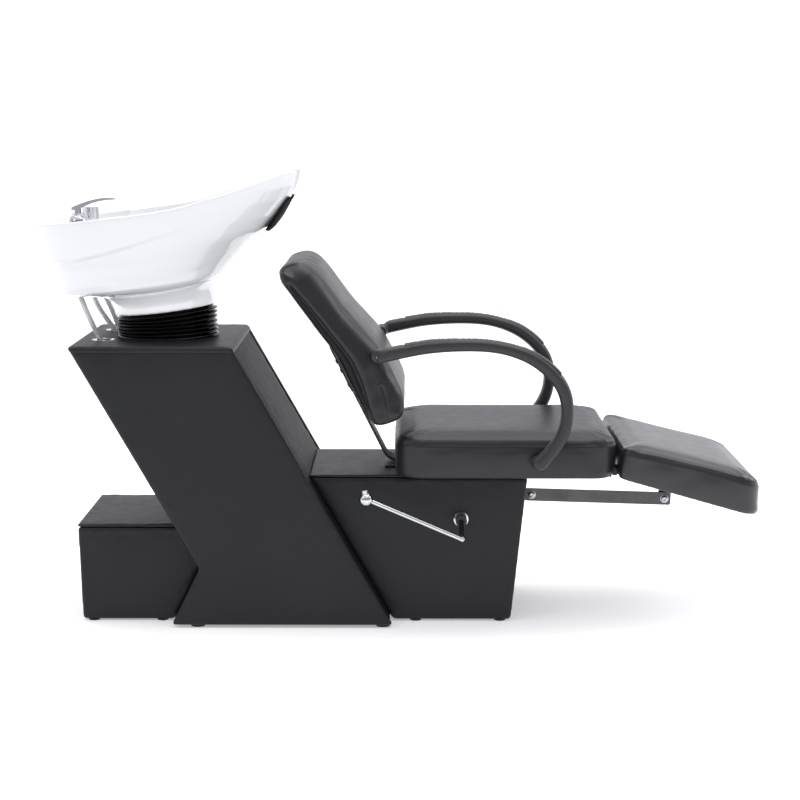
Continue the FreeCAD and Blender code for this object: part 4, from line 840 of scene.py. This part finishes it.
def stack(name, plans):
    """A closed form from plan outlines at rising heights: (points, height function)."""
    V, F, n = [], [], len(plans[0][0])
    for pts, z in plans:
        V += [(x / 1000, y / 1000, z(x, y) / 1000) for x, y in pts]
    for i in range(len(plans) - 1):
        for j in range(n):
            k = (j + 1) % n
            F.append((i * n + j, i * n + k, (i + 1) * n + k, (i + 1) * n + j))
    F.append(tuple(range(n - 1, -1, -1)))
    F.append(tuple((len(plans) - 1) * n + j for j in range(n)))
    ob = mesh(name, V, F)
    bm = bmesh.new()
    bm.from_mesh(ob.data)
    bmesh.ops.recalc_face_normals(bm, faces=bm.faces)
    bm.to_mesh(ob.data)
    bm.free()
    return ob


def shrink(x0, x1, hw, rr, rf, d):
    return rounded_plan(x0 + d, x1 - d, hw - d, max(4, rr - d), max(4, rf - d))


# seat: boxed cushion, its top edge rolled, with the boxing seam below it
def flat(z):
    return lambda x, y: z


sx0, sx1, shw = 13.5, 515.0, 235.0
rows = [(8, 350.5, 7), (3, 351.5, 7), (0.8, 355, 7), (0, 362, 6), (0, 368, 4.5), (0, 378, 1), (0, 400, 0), (0, 424, 0), (0, 433, 0), (1.4, 438.5, 0), (4.5, 443, 0), (10, 446, 0), (18, 447.5, 0)]
seat = stack("seat_cover", [(shrink(sx0, sx1 - dx, shw, 66, 52 - dx, d), flat(z)) for d, z, dx in rows])
remesh(seat, 0.0045, 3)
co, n = get(seat), nrm(seat)
zs = co[:, 2] * 1000
held = np.maximum(ss(-(zs - 357), 0, 5), 0.85 * np.exp(-(((zs - 430) / 3.2) ** 2)))
inflate(seat, held, pressure=4.0, cap=0.0055)
co, n = get(seat), nrm(seat)
relax(seat, 2)
subdivide(seat)
co, n = get(seat), nrm(seat)
side_sel = 1 - ss(np.abs(n[:, 2]), 0.65, 0.95)
wave = 0.0006 * wob(co * np.array([1, 1, 0]), 61, 0.09)
groove(seat, np.abs(co[:, 2] - 0.4295 - wave), side_sel, 0.0028, 0.0015, lip=0.12)
co, n = get(seat), nrm(seat)
# sitting surface: a slight dip where people sit, a few long soft wrinkles at the boxing
sit = np.exp(-(((co[:, 0] - 0.20) / 0.14) ** 2) - ((co[:, 1] / 0.15) ** 2)) * ss(n[:, 2], 0.5, 0.9)
crn = ss(np.minimum(np.minimum(co[:, 0] - 0.017, 0.512 - co[:, 0]), 0.237 - np.abs(co[:, 1])), 0.0, 0.11) * ss(n[:, 2], 0.5, 0.9)
co[:, 2] += -0.0015 * sit + 0.0022 * crn
fold = wob(co, 62, 0.05) * np.exp(-(((co[:, 2] - 0.415) / 0.010) ** 2)) * side_sel
put(seat, co + n * (0.00055 * fold)[:, None])
paint(seat, m_vinyl_cushion)
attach(seat, "base")
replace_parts(seat, "seat_cushion")

# leg rest: a wedge-shaped cushion with the same boxing seam
LD = np.array([-0.2785, -0.9604])
top_a, top_b = np.array([530.5, 428.8]), np.array([842.0, 350.0])
bot_a, bot_b = np.array([517.5, 352.6]), np.array([842.5, 260.5])


def arch(s):
    return 6.5 * np.sin(math.pi * np.clip(s, 0, 1))


def leg_top(s):
    return top_a + (top_b - top_a) * s + np.array([0.2449, 0.9695]) * arch(s)


def leg_bot(s):
    return bot_a + (bot_b - bot_a) * s + LD * 3.5 * math.sin(math.pi * s ** 0.8)


def leg_stack():
    rows_ = [(4, 0.0), (1.5, 0.02), (0.4, 0.06), (0, 0.14), (0, 0.5), (0, 0.72), (0.6, 0.80), (2.6, 0.88), (6.2, 0.945), (11, 0.982), (19, 1.0)]
    V, F, n_ = [], [], 36
    for d_, h in rows_:
        plan = rounded_plan(0 + d_, 320 - d_ - 8.0 * max(0.0, 1 - h / 0.13) ** 2, 234.5 - d_, max(4, 21 - d_), max(4, 44 - d_))
        for s_, y in plan:
            f = s_ / 320.0
            a, b = leg_bot(f), leg_top(f)
            p = a + (b - a) * h
            V.append((p[0] / 1000, y / 1000, p[1] / 1000))
    for i in range(len(rows_) - 1):
        for j in range(n_):
            k = (j + 1) % n_
            F.append((i * n_ + j, i * n_ + k, (i + 1) * n_ + k, (i + 1) * n_ + j))
    F.append(tuple(range(n_ - 1, -1, -1)))
    F.append(tuple((len(rows_) - 1) * n_ + j for j in range(n_)))
    ob = mesh("leg_rest_cover", V, F)
    bm_ = bmesh.new()
    bm_.from_mesh(ob.data)
    bmesh.ops.recalc_face_normals(bm_, faces=bm_.faces)
    bm_.to_mesh(ob.data)
    bm_.free()
    return ob


def above_top(co_):
    """Height in metres of points over the leg rest's top line."""
    e = (top_b - top_a) / np.linalg.norm(top_b - top_a)
    nn = np.array([-e[1], e[0]])
    P_ = co_[:, [0, 2]] * 1000 - top_a
    return (P_ @ nn - arch((P_ @ e) / np.linalg.norm(top_b - top_a))) / 1000


def above_bottom(co_):
    return -((co_[:, [0, 2]] * 1000 - bot_a) @ LD) / 1000


leg = leg_stack()
remesh(leg, 0.0045, 3)
co = get(leg)
h = above_top(co)
held = np.maximum(1 - ss(above_bottom(co), 0.002, 0.007), 0.70 * np.exp(-(((h + 0.0150) / 0.0050) ** 2)))
inflate(leg, held, pressure=3.5, cap=0.0032)
co, n = get(leg), nrm(leg)
topn = np.array([0.2449, 0.9695])
nt_ = n[:, 0] * topn[0] + n[:, 2] * topn[1]
relax(leg, 2)
subdivide(leg)
co, n = get(leg), nrm(leg)
nt_ = n[:, 0] * topn[0] + n[:, 2] * topn[1]
side_sel = 1 - ss(np.abs(nt_), 0.65, 0.95)
groove(leg, np.abs(above_top(co) + 0.0150 - 0.0006 * wob(co, 71, 0.09)), side_sel, 0.0034, 0.0007)
co, n = get(leg), nrm(leg)
crn = ss(0.237 - np.abs(co[:, 1]), 0, 0.10) * ss(co[:, 0], 0.540, 0.63) * (1 - ss(co[:, 0], 0.75, 0.835)) * ss(nt_, 0.5, 0.9)
put(leg, co + n * (0.0018 * crn + 0.0005 * wob(co, 72, 0.055) * side_sel)[:, None])
paint(leg, m_vinyl_leg)
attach(leg, "leg_rest")
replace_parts(leg, "leg_rest_cushion")

# backrest: a thick front pad over a narrower back shell, parted by a sewn line on each side
back_out = [(-256, 820), (-246, 800), (-210, 749), (-160, 681), (-128, 641), (-111, 612), (-88, 563), (-70, 528), (-47, 484), (-38, 470), (-24, 466),
            (30, 484), (38, 498), (35, 535), (6, 594), (-12, 633), (-34, 662), (-59, 690), (-91, 726), (-124, 771), (-147, 803), (-170, 829),
            (-186, 839), (-208, 840), (-245, 829)]


def closed_line(P, n_, rounds=4):
    """The outline with its corners eased and its points evenly spaced."""
    P = np.asarray(P, float)
    P = np.vstack([P, P[:1]])
    d_ = np.r_[0, np.cumsum(np.linalg.norm(np.diff(P, axis=0), axis=1))]
    s_ = np.linspace(0, d_[-1], n_, endpoint=False)
    out = np.column_stack([np.interp(s_, d_, P[:, i]) for i in range(2)])
    for _ in range(rounds):
        out = 0.5 * out + 0.25 * (np.roll(out, 1, 0) + np.roll(out, -1, 0))
    return out


def roll(y, half, R):
    """How far a rounded edge of radius R has come in at width y."""
    t = np.clip((abs(y) - (half - R)) / R, 0, 1)
    return R * (1 - math.sqrt(max(0.0, 1 - t * t)))


def back_form():
    N, half = 180, 222.0
    O = closed_line(back_out, N, 6)
    T = np.roll(O, -1, 0) - np.roll(O, 1, 0)
    T /= np.linalg.norm(T, axis=1)[:, None]
    nin = np.column_stack([-T[:, 1], T[:, 0]])
    if ((O.mean(0) - O) * nin).sum() < 0:
        nin = -nin
    # shares of front, rear, top and bottom for each outline point, from its outward normal
    up = np.array([-0.47, 0.88])
    out = -nin
    w_top = ss(out @ up, 0.45, 0.9)
    w_bot = ss(-(out @ up), 0.45, 0.9)
    w_front = ss(out @ np.array([0.88, 0.47]), 0.15, 0.7) * (1 - w_top) * (1 - w_bot)
    w_rear = ss(-(out @ np.array([0.88, 0.47])), 0.15, 0.7) * (1 - w_top) * (1 - w_bot)
    high = ss(O[:, 1], 560, 700)
    ys = [0, 40, 80, 115, 145, 165, 178, 188, 196, 203, 209, 214, 218, 220.5, 221.7, 222]
    ys = [-y for y in ys[::-1]] + ys[1:]
    V, F = [], []
    for y in ys:
        a = abs(y) / half
        d_front = roll(y, half, 30) + (4 + 8 * high) * a ** 2.4
        d_rear = roll(y, half, 13) + 0 * high
        d_top = roll(y, half, 50) + 3 * a ** 2
        d_bot = roll(y, half, 15) + 0 * high
        d_ = w_front * d_front + w_rear * d_rear + w_top * d_top + w_bot * d_bot
        d_ = d_ + (1 - w_front - w_rear - w_top - w_bot).clip(0) * roll(y, half, 24)
        for _ in range(10):
            d_ = 0.5 * d_ + 0.25 * (np.roll(d_, 1) + np.roll(d_, -1))
        R_ = O + nin * d_[:, None]
        V += [(x / 1000, y / 1000, z / 1000) for x, z in R_]
    for i in range(len(ys) - 1):
        for j in range(N):
            k = (j + 1) % N
            F.append((i * N + j, i * N + k, (i + 1) * N + k, (i + 1) * N + j))
    F.append(tuple(range(N - 1, -1, -1)))
    F.append(tuple((len(ys) - 1) * N + j for j in range(N)))
    ob = mesh("backrest_cover", V, F)
    bm_ = bmesh.new()
    bm_.from_mesh(ob.data)
    bmesh.ops.recalc_face_normals(bm_, faces=bm_.faces)
    bm_.to_mesh(ob.data)
    bm_.free()
    return ob


back = back_form()
remesh(back, 0.0050, 2)
co = get(back)
P2 = co[:, [0, 2]] * 1000
seam_1 = [(-221, 782), (-199, 758), (-175, 727), (-151, 695), (-126, 665), (-106, 640), (-88, 614), (-75, 586), (-64, 558), (-55, 529), (-49, 501), (-38, 464)]
seam_2 = [(-17, 560), (-10, 539), (-5, 512), (-3, 482)]
d1 = polydist(P2, seam_1)
held = 0.95 * np.exp(-((d1 / 6.0) ** 2)) * (np.abs(co[:, 1]) > 0.17)
inflate(back, held, pressure=4.0, cap=0.0032)
relax(back, 3)
subdivide(back)
co, n = get(back), nrm(back)
P2 = co[:, [0, 2]] * 1000
rear_poly = seam_1 + [(-60, 440), (-330, 740), (-262, 800)]
behind = inside(P2, rear_poly)
d1 = polydist(P2, seam_1)
step = behind * ss(d1, 0, 26) * ss(np.abs(co[:, 1]), 0.12, 0.22)
co[:, 1] -= np.sign(co[:, 1]) * 0.007 * step
put(back, co)
n = nrm(back)
on_side = ss(np.abs(n[:, 1]), 0.30, 0.75)
groove(back, polydist(P2, seam_1) / 1000, on_side, 0.0068, 0.0088, lip=0.12)
co, n = get(back), nrm(back)
groove(back, polydist(P2, seam_2) / 1000, ss(np.abs(n[:, 1]), 0.35, 0.8), 0.0022, 0.0026)
# puckers where the short seam starts, and long soft folds down the side
co, n = get(back), nrm(back)
P2 = co[:, [0, 2]] * 1000
rp_ = P2 - np.array([-19.0, 574.0])
dist_ = np.linalg.norm(rp_, axis=1)
ang_ = np.arctan2(rp_[:, 1], rp_[:, 0])
star = np.cos(7 * ang_ + 1.0) * np.exp(-((dist_ / 12.0) ** 2)) * (1 - np.exp(-((dist_ / 3.0) ** 2)))
put(back, co + n * (0.0007 * star * on_side + 0.0005 * wob(co, 81, 0.06) * on_side + 0.0006 * wob(co, 82, 0.14))[:, None])
paint(back, m_vinyl_back)
# the shell behind the long seam gets a duller, darker copy of the backrest vinyl; its darker colour is painted shade
# for the recess behind the front pad
back.data.materials.append(m_vinyl_shell_painted_shade)
cen = np.empty(len(back.data.polygons) * 3)
back.data.polygons.foreach_get("center", cen)
cen = cen.reshape(-1, 3)
back.data.polygons.foreach_set("material_index", (inside(cen[:, [0, 2]] * 1000, rear_poly) > 0.5).astype(np.int32))
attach(back, "base")
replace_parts(back, "backrest_cushion")


def bpt(s, t):
    return (-144 + 0.4472 * s - 0.8944 * t, 678 - 0.8944 * s - 0.4472 * t)


rp = board("backrest_rear_cover", [bpt(20, 5.2), bpt(25, 9.5), bpt(40, 12), bpt(150, 12), bpt(168, 4), bpt(168, 0.5), bpt(128, 0.6), bpt(74, 0.0), bpt(41, 1.5)], -150, 150, 2.2, vox=0.0035, smooth=5,
           face=(-0.8944, -0.4472, bpt(160, 12), bpt(25, 12)), amp=0.9, soft=0.03, seed=91, stands=["backrest_rear_panel"], m=m_vinyl_back)

# ---------------------------------------------------------------- armrests
arm_out = np.array([(-3, 655), (51, 665), (97, 672), (175, 674), (223, 672), (270, 663), (323, 645), (372, 609), (402, 567), (411, 526), (410, 492), (399, 449), (375, 413), (352, 385)], float)
arm_in = np.array([(-17, 620), (26, 630), (75, 640), (122, 645), (175, 647), (224, 645), (266, 637), (310, 619), (344, 594), (368, 567), (381, 538), (384, 509), (380, 481), (367, 452), (346, 424), (322, 402)], float)


def catmull(P, m=24):
    out = []
    P = np.vstack([2 * P[0] - P[1], P, 2 * P[-1] - P[-2]])
    for i in range(1, len(P) - 2):
        for k in range(m):
            t = k / m
            a, b, c, d_ = P[i - 1], P[i], P[i + 1], P[i + 2]
            out.append(0.5 * (2 * b + (c - a) * t + (2 * a - 5 * b + 4 * c - d_) * t * t + (3 * b - a - 3 * c + d_) * t ** 3))
    out.append(P[-2])
    return np.array(out)


def stations(P, n_):
    d_ = np.r_[0, np.cumsum(np.linalg.norm(np.diff(P, axis=0), axis=1))]
    s_ = np.linspace(0, d_[-1], n_)
    return np.column_stack([np.interp(s_, d_, P[:, i]) for i in range(P.shape[1])])


def arm(name, side_):
    NS, K = 150, 32
    so, si = stations(catmull(arm_out), NS), stations(catmull(arm_in), NS)
    # smooth the two outlines a little, ends kept
    for _ in range(30):
        so[1:-1] = 0.5 * so[1:-1] + 0.25 * (so[:-2] + so[2:])
        si[1:-1] = 0.5 * si[1:-1] + 0.25 * (si[:-2] + si[2:])
    c, hvec = (so + si) / 2, (so - si) / 2
    V, F = [], []
    yc, hw = 265.5, 21.5
    ends = [0.0] * NS
    prof = []
    # round ends
    for k, (i, sgn) in enumerate(((0, -1), (NS - 1, 1))):
        pass
    t0 = c[0] - c[1]
    t0 /= np.linalg.norm(t0)
    t1 = c[-1] - c[-2]
    t1 /= np.linalg.norm(t1)
    seq = []
    for a in np.linspace(88, 8, 7):
        q_ = math.radians(a)
        seq.append((c[0] + t0 * np.linalg.norm(hvec[0]) * math.sin(q_) * 0.9, hvec[0] * math.cos(q_), hw * (0.35 + 0.65 * math.cos(q_))))
    for i in range(NS):
        seq.append((c[i], hvec[i], hw))
    for a in np.linspace(8, 88, 7):
        q_ = math.radians(a)
        seq.append((c[-1] + t1 * np.linalg.norm(hvec[-1]) * math.sin(q_) * 0.9, hvec[-1] * math.cos(q_), hw * (0.35 + 0.65 * math.cos(q_))))
    for cc, hv, w in seq:
        for j in range(K):
            th = 2 * math.pi * (j + 0.5) / K
            cs, sn = math.cos(th), math.sin(th)
            e = 2 / 3.0
            a = math.copysign(abs(cs) ** e, cs)
            b = math.copysign(abs(sn) ** e, sn)
            p = cc + hv * a
            V.append((p[0] / 1000, side_ * (yc + w * b) / 1000, p[1] / 1000))
    n_ = len(seq)
    for i in range(n_ - 1):
        for j in range(K):
            k = (j + 1) % K
            F.append((i * K + j, i * K + k, (i + 1) * K + k, (i + 1) * K + j))
    F.append(tuple(range(K - 1, -1, -1)))
    F.append(tuple((n_ - 1) * K + j for j in range(K)))
    ob = mesh(name, V, F)
    bosses = [lathe("boss_a", [(16.5, 0), (14.8, 5), (14.0, 12), (13.6, 44)], (-24, side_ * 254, 632), (0, -side_, 0), 40, cap_first=True),
              lathe("boss_b", [(15.5, 0), (14.2, 4), (13.4, 8), (13.2, 17)], (331, side_ * 254, 393), (0, -side_, 0), 40, cap_first=True)]
    ob = join(name, [ob] + bosses)
    bm_ = bmesh.new()
    bm_.from_mesh(ob.data)
    bmesh.ops.recalc_face_normals(bm_, faces=bm_.faces)
    bm_.to_mesh(ob.data)
    bm_.free()
    remesh(ob, 0.0026, 5)
    co_, n_n = get(ob), nrm(ob)
    P_ = co_[:, [0, 2]] * 1000
    mid = (so + si) / 2
    # nearest station, and how far across the bar a point lies
    idx = np.zeros(len(P_), int)
    best = np.full(len(P_), 1e9)
    for i in range(NS):
        q2 = ((P_ - mid[i]) ** 2).sum(1)
        m_ = q2 < best
        best[m_] = q2[m_]
        idx[m_] = i
    hv = hvec[idx]
    hl = np.linalg.norm(hv, axis=1)
    a_ = ((P_ - mid[idx]) * hv).sum(1) / hl / hl          # -1 inner, +1 outer
    arc = np.r_[0, np.cumsum(np.linalg.norm(np.diff(mid, axis=0), axis=1))]
    s_ = arc[idx] + ((P_ - mid[idx]) * np.gradient(mid, axis=0)[idx]).sum(1) / np.linalg.norm(np.gradient(mid, axis=0)[idx], axis=1)
    end_i = int(np.argmin(((mid - np.array([372, 587])) ** 2).sum(1)))
    s_end, s_beg = arc[end_i], 46.0
    # the soft pad on the top: raised a little inside a shallow line
    acr = np.abs(co_[:, 1] * 1000 * side_ - yc)
    across = 17.0 - acr
    along = np.minimum(s_ - s_beg, s_end - s_)
    dn_ = np.minimum(across, along)
    top_sel = ss(a_, 0.35, 0.7)
    line = -2.6 * np.exp(-((dn_ / 1.5) ** 2)) + 2.4 * ss(dn_, 0.5, 3.5)
    co_ = co_ + n_n * (top_sel * line / 1000)[:, None]
    put(ob, co_)
    paint(ob, m_pu)
    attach(ob, "base")
    return ob


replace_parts(arm("armrest_cover_right", -1), "armrest_right")
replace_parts(arm("armrest_cover_left", 1), "armrest_left")

# ---------------------------------------------------------------- basin
src = NODE["basin"].data.copy()
basin = link("basin_glazed", src)
weld(basin)
remesh(basin, 0.0028, 7)
co, n = get(basin), nrm(basin)
P = co * 1000
crease = np.array([(-900, 829), (-800, 829), (-764, 832), (-734, 836), (-700, 841), (-642, 855), (-596, 868), (-529, 889), (-462, 911), (-418, 928), (-300, 975)], float)
zc = np.interp(P[:, 0], crease[:, 0], crease[:, 1])
amp = 5.5 * (1 - ss(P[:, 0], -640, -430))
ctr = np.array([-560.0, 0.0])
rad = P[:, :2] - ctr
rad /= np.maximum(np.linalg.norm(rad, axis=1), 1e-6)[:, None]
# the outer skin faces away from the middle; the inner one doesn't move
outn = ss((n[:, :2] * rad).sum(1), -0.05, 0.30)
rim_ok = ss(P[:, 2], 700, 760)
up_ = ss(P[:, 2] - zc, -3.5, 3.5)
stp = (up_ - 0.45) * amp
fade = 1 - ss(zc - P[:, 2], 15, 70)
stp = np.where(stp < 0, stp * fade, stp)
# at the rear the shell's own step is gathered into a sharp one at the same line
at_rear = 1 - ss(P[:, 0], -792, -745)
stp = stp * (1 - at_rear) + at_rear * (-9.0 * ss(P[:, 2], 802, 822) * (1 - up_) + 1.5 * up_)
stp = stp * outn * rim_ok
# the belly laps over the foot's collar in a soft fold
zf = np.interp(P[:, 0], [-640, -592, -511, -427, -397, -360], [762, 757, 766, 784, 800, 830])
lap = (ss(P[:, 2] - zf, -3.5, 3.5) - 0.25) * 7.5 * (1 - ss(np.abs(P[:, 2] - zf), 7, 36))
stp = stp + lap * outn * ss(P[:, 0], -655, -605) * (1 - ss(P[:, 0], -425, -385))
co[:, :2] += rad * (stp / 1000)[:, None]
put(basin, co)
relax(basin, 2)
paint(basin, m_ceramic)
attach(basin, "bowl")
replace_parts(basin, "basin")

neck = link("neck_rest_pad", NODE["neck_rest"].data.copy())
weld(neck)
remesh(neck, 0.0018, 10)
# the rest is thick at its lower edge and runs out thin at the upper one
co = get(neck)
tree = BVHTree.FromPolygons([tuple(map(float, p)) for p in get(basin)], [tuple(p.vertices) for p in basin.data.polygons])
thick = 1.10 - 0.72 * ss(co[:, 2] * 1000, 900, 970)
for i in range(len(co)):
    q = tree.find_nearest(tuple(map(float, co[i])))[0]
    if q is not None:
        q = np.array(q)
        co[i] = q + (co[i] - q) * thick[i]
put(neck, co)
paint(neck, m_gel)
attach(neck, "bowl")
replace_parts(neck, "neck_rest")


# ---------------------------------------------------------------- bellows
def bellows():
    rings, seg = [], 112
    prof = [(0.00, 117.5), (0.012, 118.2), (0.06, 118.4), (0.10, 117.6), (0.125, 114.0)]
    nf = 6
    for i in range(nf):
        a = 0.14 + 0.80 * i / nf
        w = 0.80 / nf
        for f, r in ((0.0, 107.2), (0.08, 108.4), (0.18, 112.6), (0.28, 116.0), (0.38, 118.2), (0.50, 119.0), (0.62, 118.2), (0.72, 116.0), (0.82, 112.6), (0.92, 108.4)):
            prof.append((a + w * f, r))
    prof += [(0.945, 108.0), (0.965, 111.0), (1.0, 112.0)]
    V, F = [], []
    z0, z1 = 648.3, 713.0
    for f, r in prof:
        a = math.radians(6.68) * f
        c = np.array([-523 - 4.5 * f, 0, z0 + (z1 - z0) * f])
        ex = np.array([math.cos(a), 0, math.sin(a)])
        for j in range(seg):
            t = 2 * math.pi * j / seg
            bulge = 1 + 0.006 * math.sin(3 * t + 9 * f) * (0.2 < f < 0.9) + 0.004 * math.sin(5 * t - 6 * f + 1)
            sag_ = 0.9 * math.sin(2 * t + 11 * f) * math.sin(math.pi * min(1, max(0, f)))
            p = c + ex * (r * bulge * math.cos(t)) + np.array([0, r * bulge * math.sin(t), sag_])
            V.append(p / 1000)
    n_ = len(prof)
    for i in range(n_ - 1):
        for j in range(seg):
            k = (j + 1) % seg
            F.append((i * seg + j, i * seg + k, (i + 1) * seg + k, (i + 1) * seg + j))
    ob = mesh("bellows_skin", V, F)
    so = ob.modifiers.new("wall", "SOLIDIFY")
    so.thickness = 0.0022
    so.offset = -1
    bake(ob)
    paint(ob, m_rubber)
    return ob


bel = bellows()
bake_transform(bel)
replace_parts(bel, "bellows")

# ---------------------------------------------------------------- hoses
ROUTES = {
    "supply_hose_cold": [(-736, -7, 856.5), (-734, -22, 826), (-732, -56, 792), (-717, -82, 755), (-695, -93, 704), (-669, -97, 650), (-641, -97, 602), (-600, -97, 548), (-562, -97, 508), (-555, -97, 478.6)],
    "supply_hose_hot": [(-724, 7, 856.5), (-724, 22, 826), (-708, 50, 792), (-692, 74, 752), (-671, 92, 700), (-656, 100.5, 655), (-654, 101, 628), (-628, 98, 600), (-592, 97, 550), (-560, 97, 510), (-555, 97, 478.6)],
    "spray_hose": [(-716, 88, 771.5), (-716.5, 90, 745), (-709, 93, 716), (-690, 95, 684), (-668, 93.5, 655), (-666.5, 93, 628), (-640, 74, 592), (-580, 42, 545), (-528, 32, 505), (-480, 30, 452), (-450, 30, 400)],
}
for name, pts in ROUTES.items():
    P, s = even(spline_points(pts), 0.0016)
    # a braided sleeve swells and narrows very slightly along its length
    r = 0.006 * (1 + 0.02 * np.sin(s * 2 * math.pi / 0.047))
    hose = sweep(name + "_braid", P, r, 24, s=s)
    paint(hose, m_braid)
    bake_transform(hose)
    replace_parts(hose, name)

waste = [(-585, 0, 691.5), (-584, 0, 640), (-568, 0, 584), (-536, 0, 524), (-496, 0, 462), (-452, 0, 392), (-412, 0, 322), (-384, 0, 252), (-377, 0, 186), (-388, 0, 128), (-424, 0, 88), (-476, 0, 62), (-540, 0, 48), (-606, 0, 45), (-676, 0, 45.01)]
P, s = even(spline_points(waste), 0.0011)
rib = 0.0152 + 0.0009 * np.clip(np.sin(s * 2 * math.pi / 0.0062) * 1.6, -1, 1)
cuff = np.maximum(1 - ss(s, 0.018, 0.024), ss(s, s[-1] - 0.024, s[-1] - 0.018))
rib = rib * (1 - cuff) + 0.016 * cuff
wh = sweep("waste_hose_ribbed", P, rib, 24, s=s)
paint(wh, m_grey)
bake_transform(wh)
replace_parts(wh, "waste_hose")


# ---------------------------------------------------------------- bolts and chrome
def button_head(name, c, axis, r, h):
    """A domed bolt head with a hexagon socket; c is the middle of its underside, in millimetres."""
    prof = [(r * 0.97, 0), (r, 0.25), (r, 0.5)]
    for a in np.linspace(8, 62, 8):
        q_ = math.radians(a)
        prof.append((r * math.cos(q_) * 0.99 + 0.0, 0.5 + (h - 0.5) * math.sin(q_) / math.sin(math.radians(62))))
    rs = r * 0.42
    prof += [(rs + 0.35, h), (rs, h - 0.15), (rs, h * 0.38), (rs * 0.5, h * 0.30)]
    m_ = len(prof)
    return lathe(name, prof, c, axis, 48, hexed=(m_ - 3, m_ - 2, m_ - 1), cap_first=True)


def hardware(name, body, heads, stands, m_=None, extra=()):
    obs = [button_head("h", *h) for h in heads] + list(extra)
    ob = join(name, obs)
    paint(ob, m_ or m_zinc)
    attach(ob, body)
    if stands:
        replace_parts(ob, *stands)
    return ob


shank = [lathe("s", [(5, -6.2), (5, 0)], (x, -18.6, z), (0, -1, 0), 24, cap_first=True) for x, z in ((336.5, 269.5), (653, 260))]
washer = [lathe("s", [(9.6, 0), (9.9, 0.3), (9.9, 0.9), (9.6, 1.1), (5, 1.1)], (x, -18.5, z), (0, -1, 0), 40, cap_first=True) for x, z in ((336.5, 269.5), (653, 260))]
hardware("link_bolt_heads", "lift_link", [((x, -19.6, z), (0, -1, 0), 8.2, 4.4) for x, z in ((336.5, 269.5), (653, 260))], ["link_bolts"], extra=shank + washer)
hardware("back_bracket_bolt_heads", "base", [((*[bpt(s_, 22.0)[0]], y, bpt(s_, 22.0)[1]), (-0.8944, 0, -0.4472), 7.5, 4.3) for s_ in (88, 112, 150) for y in (-16.0, 16.0)],
         ["back_bracket_bolts"])

# ---------------------------------------------------------------- floor, lights
fl = mesh("floor", [(-30, -12, 0), (30, -12, 0), (30, 40, 0), (-30, 40, 0)], [(0, 1, 2, 3)])
mf, ntf, bf = shader("studio_floor")
cf = coords(ntf)
nf_ = node(ntf, "TexNoise", {"Vector": cf, "Scale": 1.3, "Detail": 3.0}).outputs[0]
ntf.links.new(ramp(ntf, nf_, [(0.3, (0.93, 0.93, 0.935)), (0.7, (0.95, 0.95, 0.95))]), bf.inputs["Base Color"])
bf.inputs["Roughness"].default_value = 0.9
bf.inputs["Specular IOR Level"].default_value = 0.1
bf.inputs["Emission Color"].default_value = (1, 1, 1, 1)
bf.inputs["Emission Strength"].default_value = 0.34
paint(fl, mf)


def area(name, loc, target, size, power, col=(1, 1, 1)):
    ld = bpy.data.lights.new(name, "AREA")
    ld.shape = "RECTANGLE"
    ld.size, ld.size_y = size
    ld.energy = power
    ld.color = col
    ob = bpy.data.objects.new(name, ld)
    ob.location = loc
    ob.rotation_euler = (Vector(target) - Vector(loc)).to_track_quat("-Z", "Y").to_euler()
    bpy.context.scene.collection.objects.link(ob)
    return ob


area("top_soft", (0.1, 0.3, 3.2), (0.0, 0.0, 0.4), (3.4, 2.4), 48)
area("right_soft", (3.0, 0.8, 2.2), (0.2, 0.0, 0.5), (1.8, 1.8), 30)
area("left_soft", (-2.6, -1.8, 2.4), (-0.4, 0.0, 0.7), (1.4, 1.4), 7)

world = bpy.data.worlds.new("studio")
world.use_nodes = True
wt = world.node_tree
wt.nodes.clear()
wo = wt.nodes.new("ShaderNodeOutputWorld")
bg = wt.nodes.new("ShaderNodeBackground")
# a white room with a darker wall behind the viewer, given by direction
wc = wt.nodes.new("ShaderNodeTexCoord").outputs["Generated"]
ws = wt.nodes.new("ShaderNodeSeparateXYZ")
wt.links.new(wc, ws.inputs[0])


def wmath(op, a, b_=0.0):
    n_ = wt.nodes.new("ShaderNodeMath")
    n_.operation = op
    for i_, v_ in enumerate((a, b_)):
        if isinstance(v_, bpy.types.NodeSocket):
            wt.links.new(v_, n_.inputs[i_])
        else:
            n_.inputs[i_].default_value = v_
    return n_.outputs[0]


def wrange(v_, a, b_, c_, d_):
    n_ = wt.nodes.new("ShaderNodeMapRange")
    n_.interpolation_type = "SMOOTHSTEP"
    wt.links.new(v_, n_.inputs[0])
    for i_, x_ in enumerate((a, b_, c_, d_)):
        n_.inputs[i_ + 1].default_value = x_
    return n_.outputs[0]


lit_y = wrange(ws.outputs[1], -0.55, 0.10, 0.46, 1.0)
lit_z = wrange(ws.outputs[2], 0.35, 0.85, 0.0, 1.0)
# the far wall is brightest at the floor and falls off upwards
low_wall = wrange(ws.outputs[2], 0.085, 0.165, 1.22, 0.80)
high_wall = wrange(ws.outputs[2], 0.30, 0.60, 0.0, 0.30)
lit = wmath("MULTIPLY", wmath("MAXIMUM", lit_y, lit_z), wmath("ADD", low_wall, high_wall))
wcol = wt.nodes.new("ShaderNodeCombineXYZ")
for i_ in range(3):
    wt.links.new(wmath("MULTIPLY", lit, (1.0, 1.005, 1.05)[i_]), wcol.inputs[i_])
wt.links.new(wcol.outputs[0], bg.inputs[0])
bg.inputs[1].default_value = 1.0
wt.links.new(bg.outputs[0], wo.inputs[0])
bpy.context.scene.world = world
bpy.context.scene.view_settings.view_transform = "Standard"
bpy.context.scene.view_settings.look = "None"

bpy.context.view_layer.update()
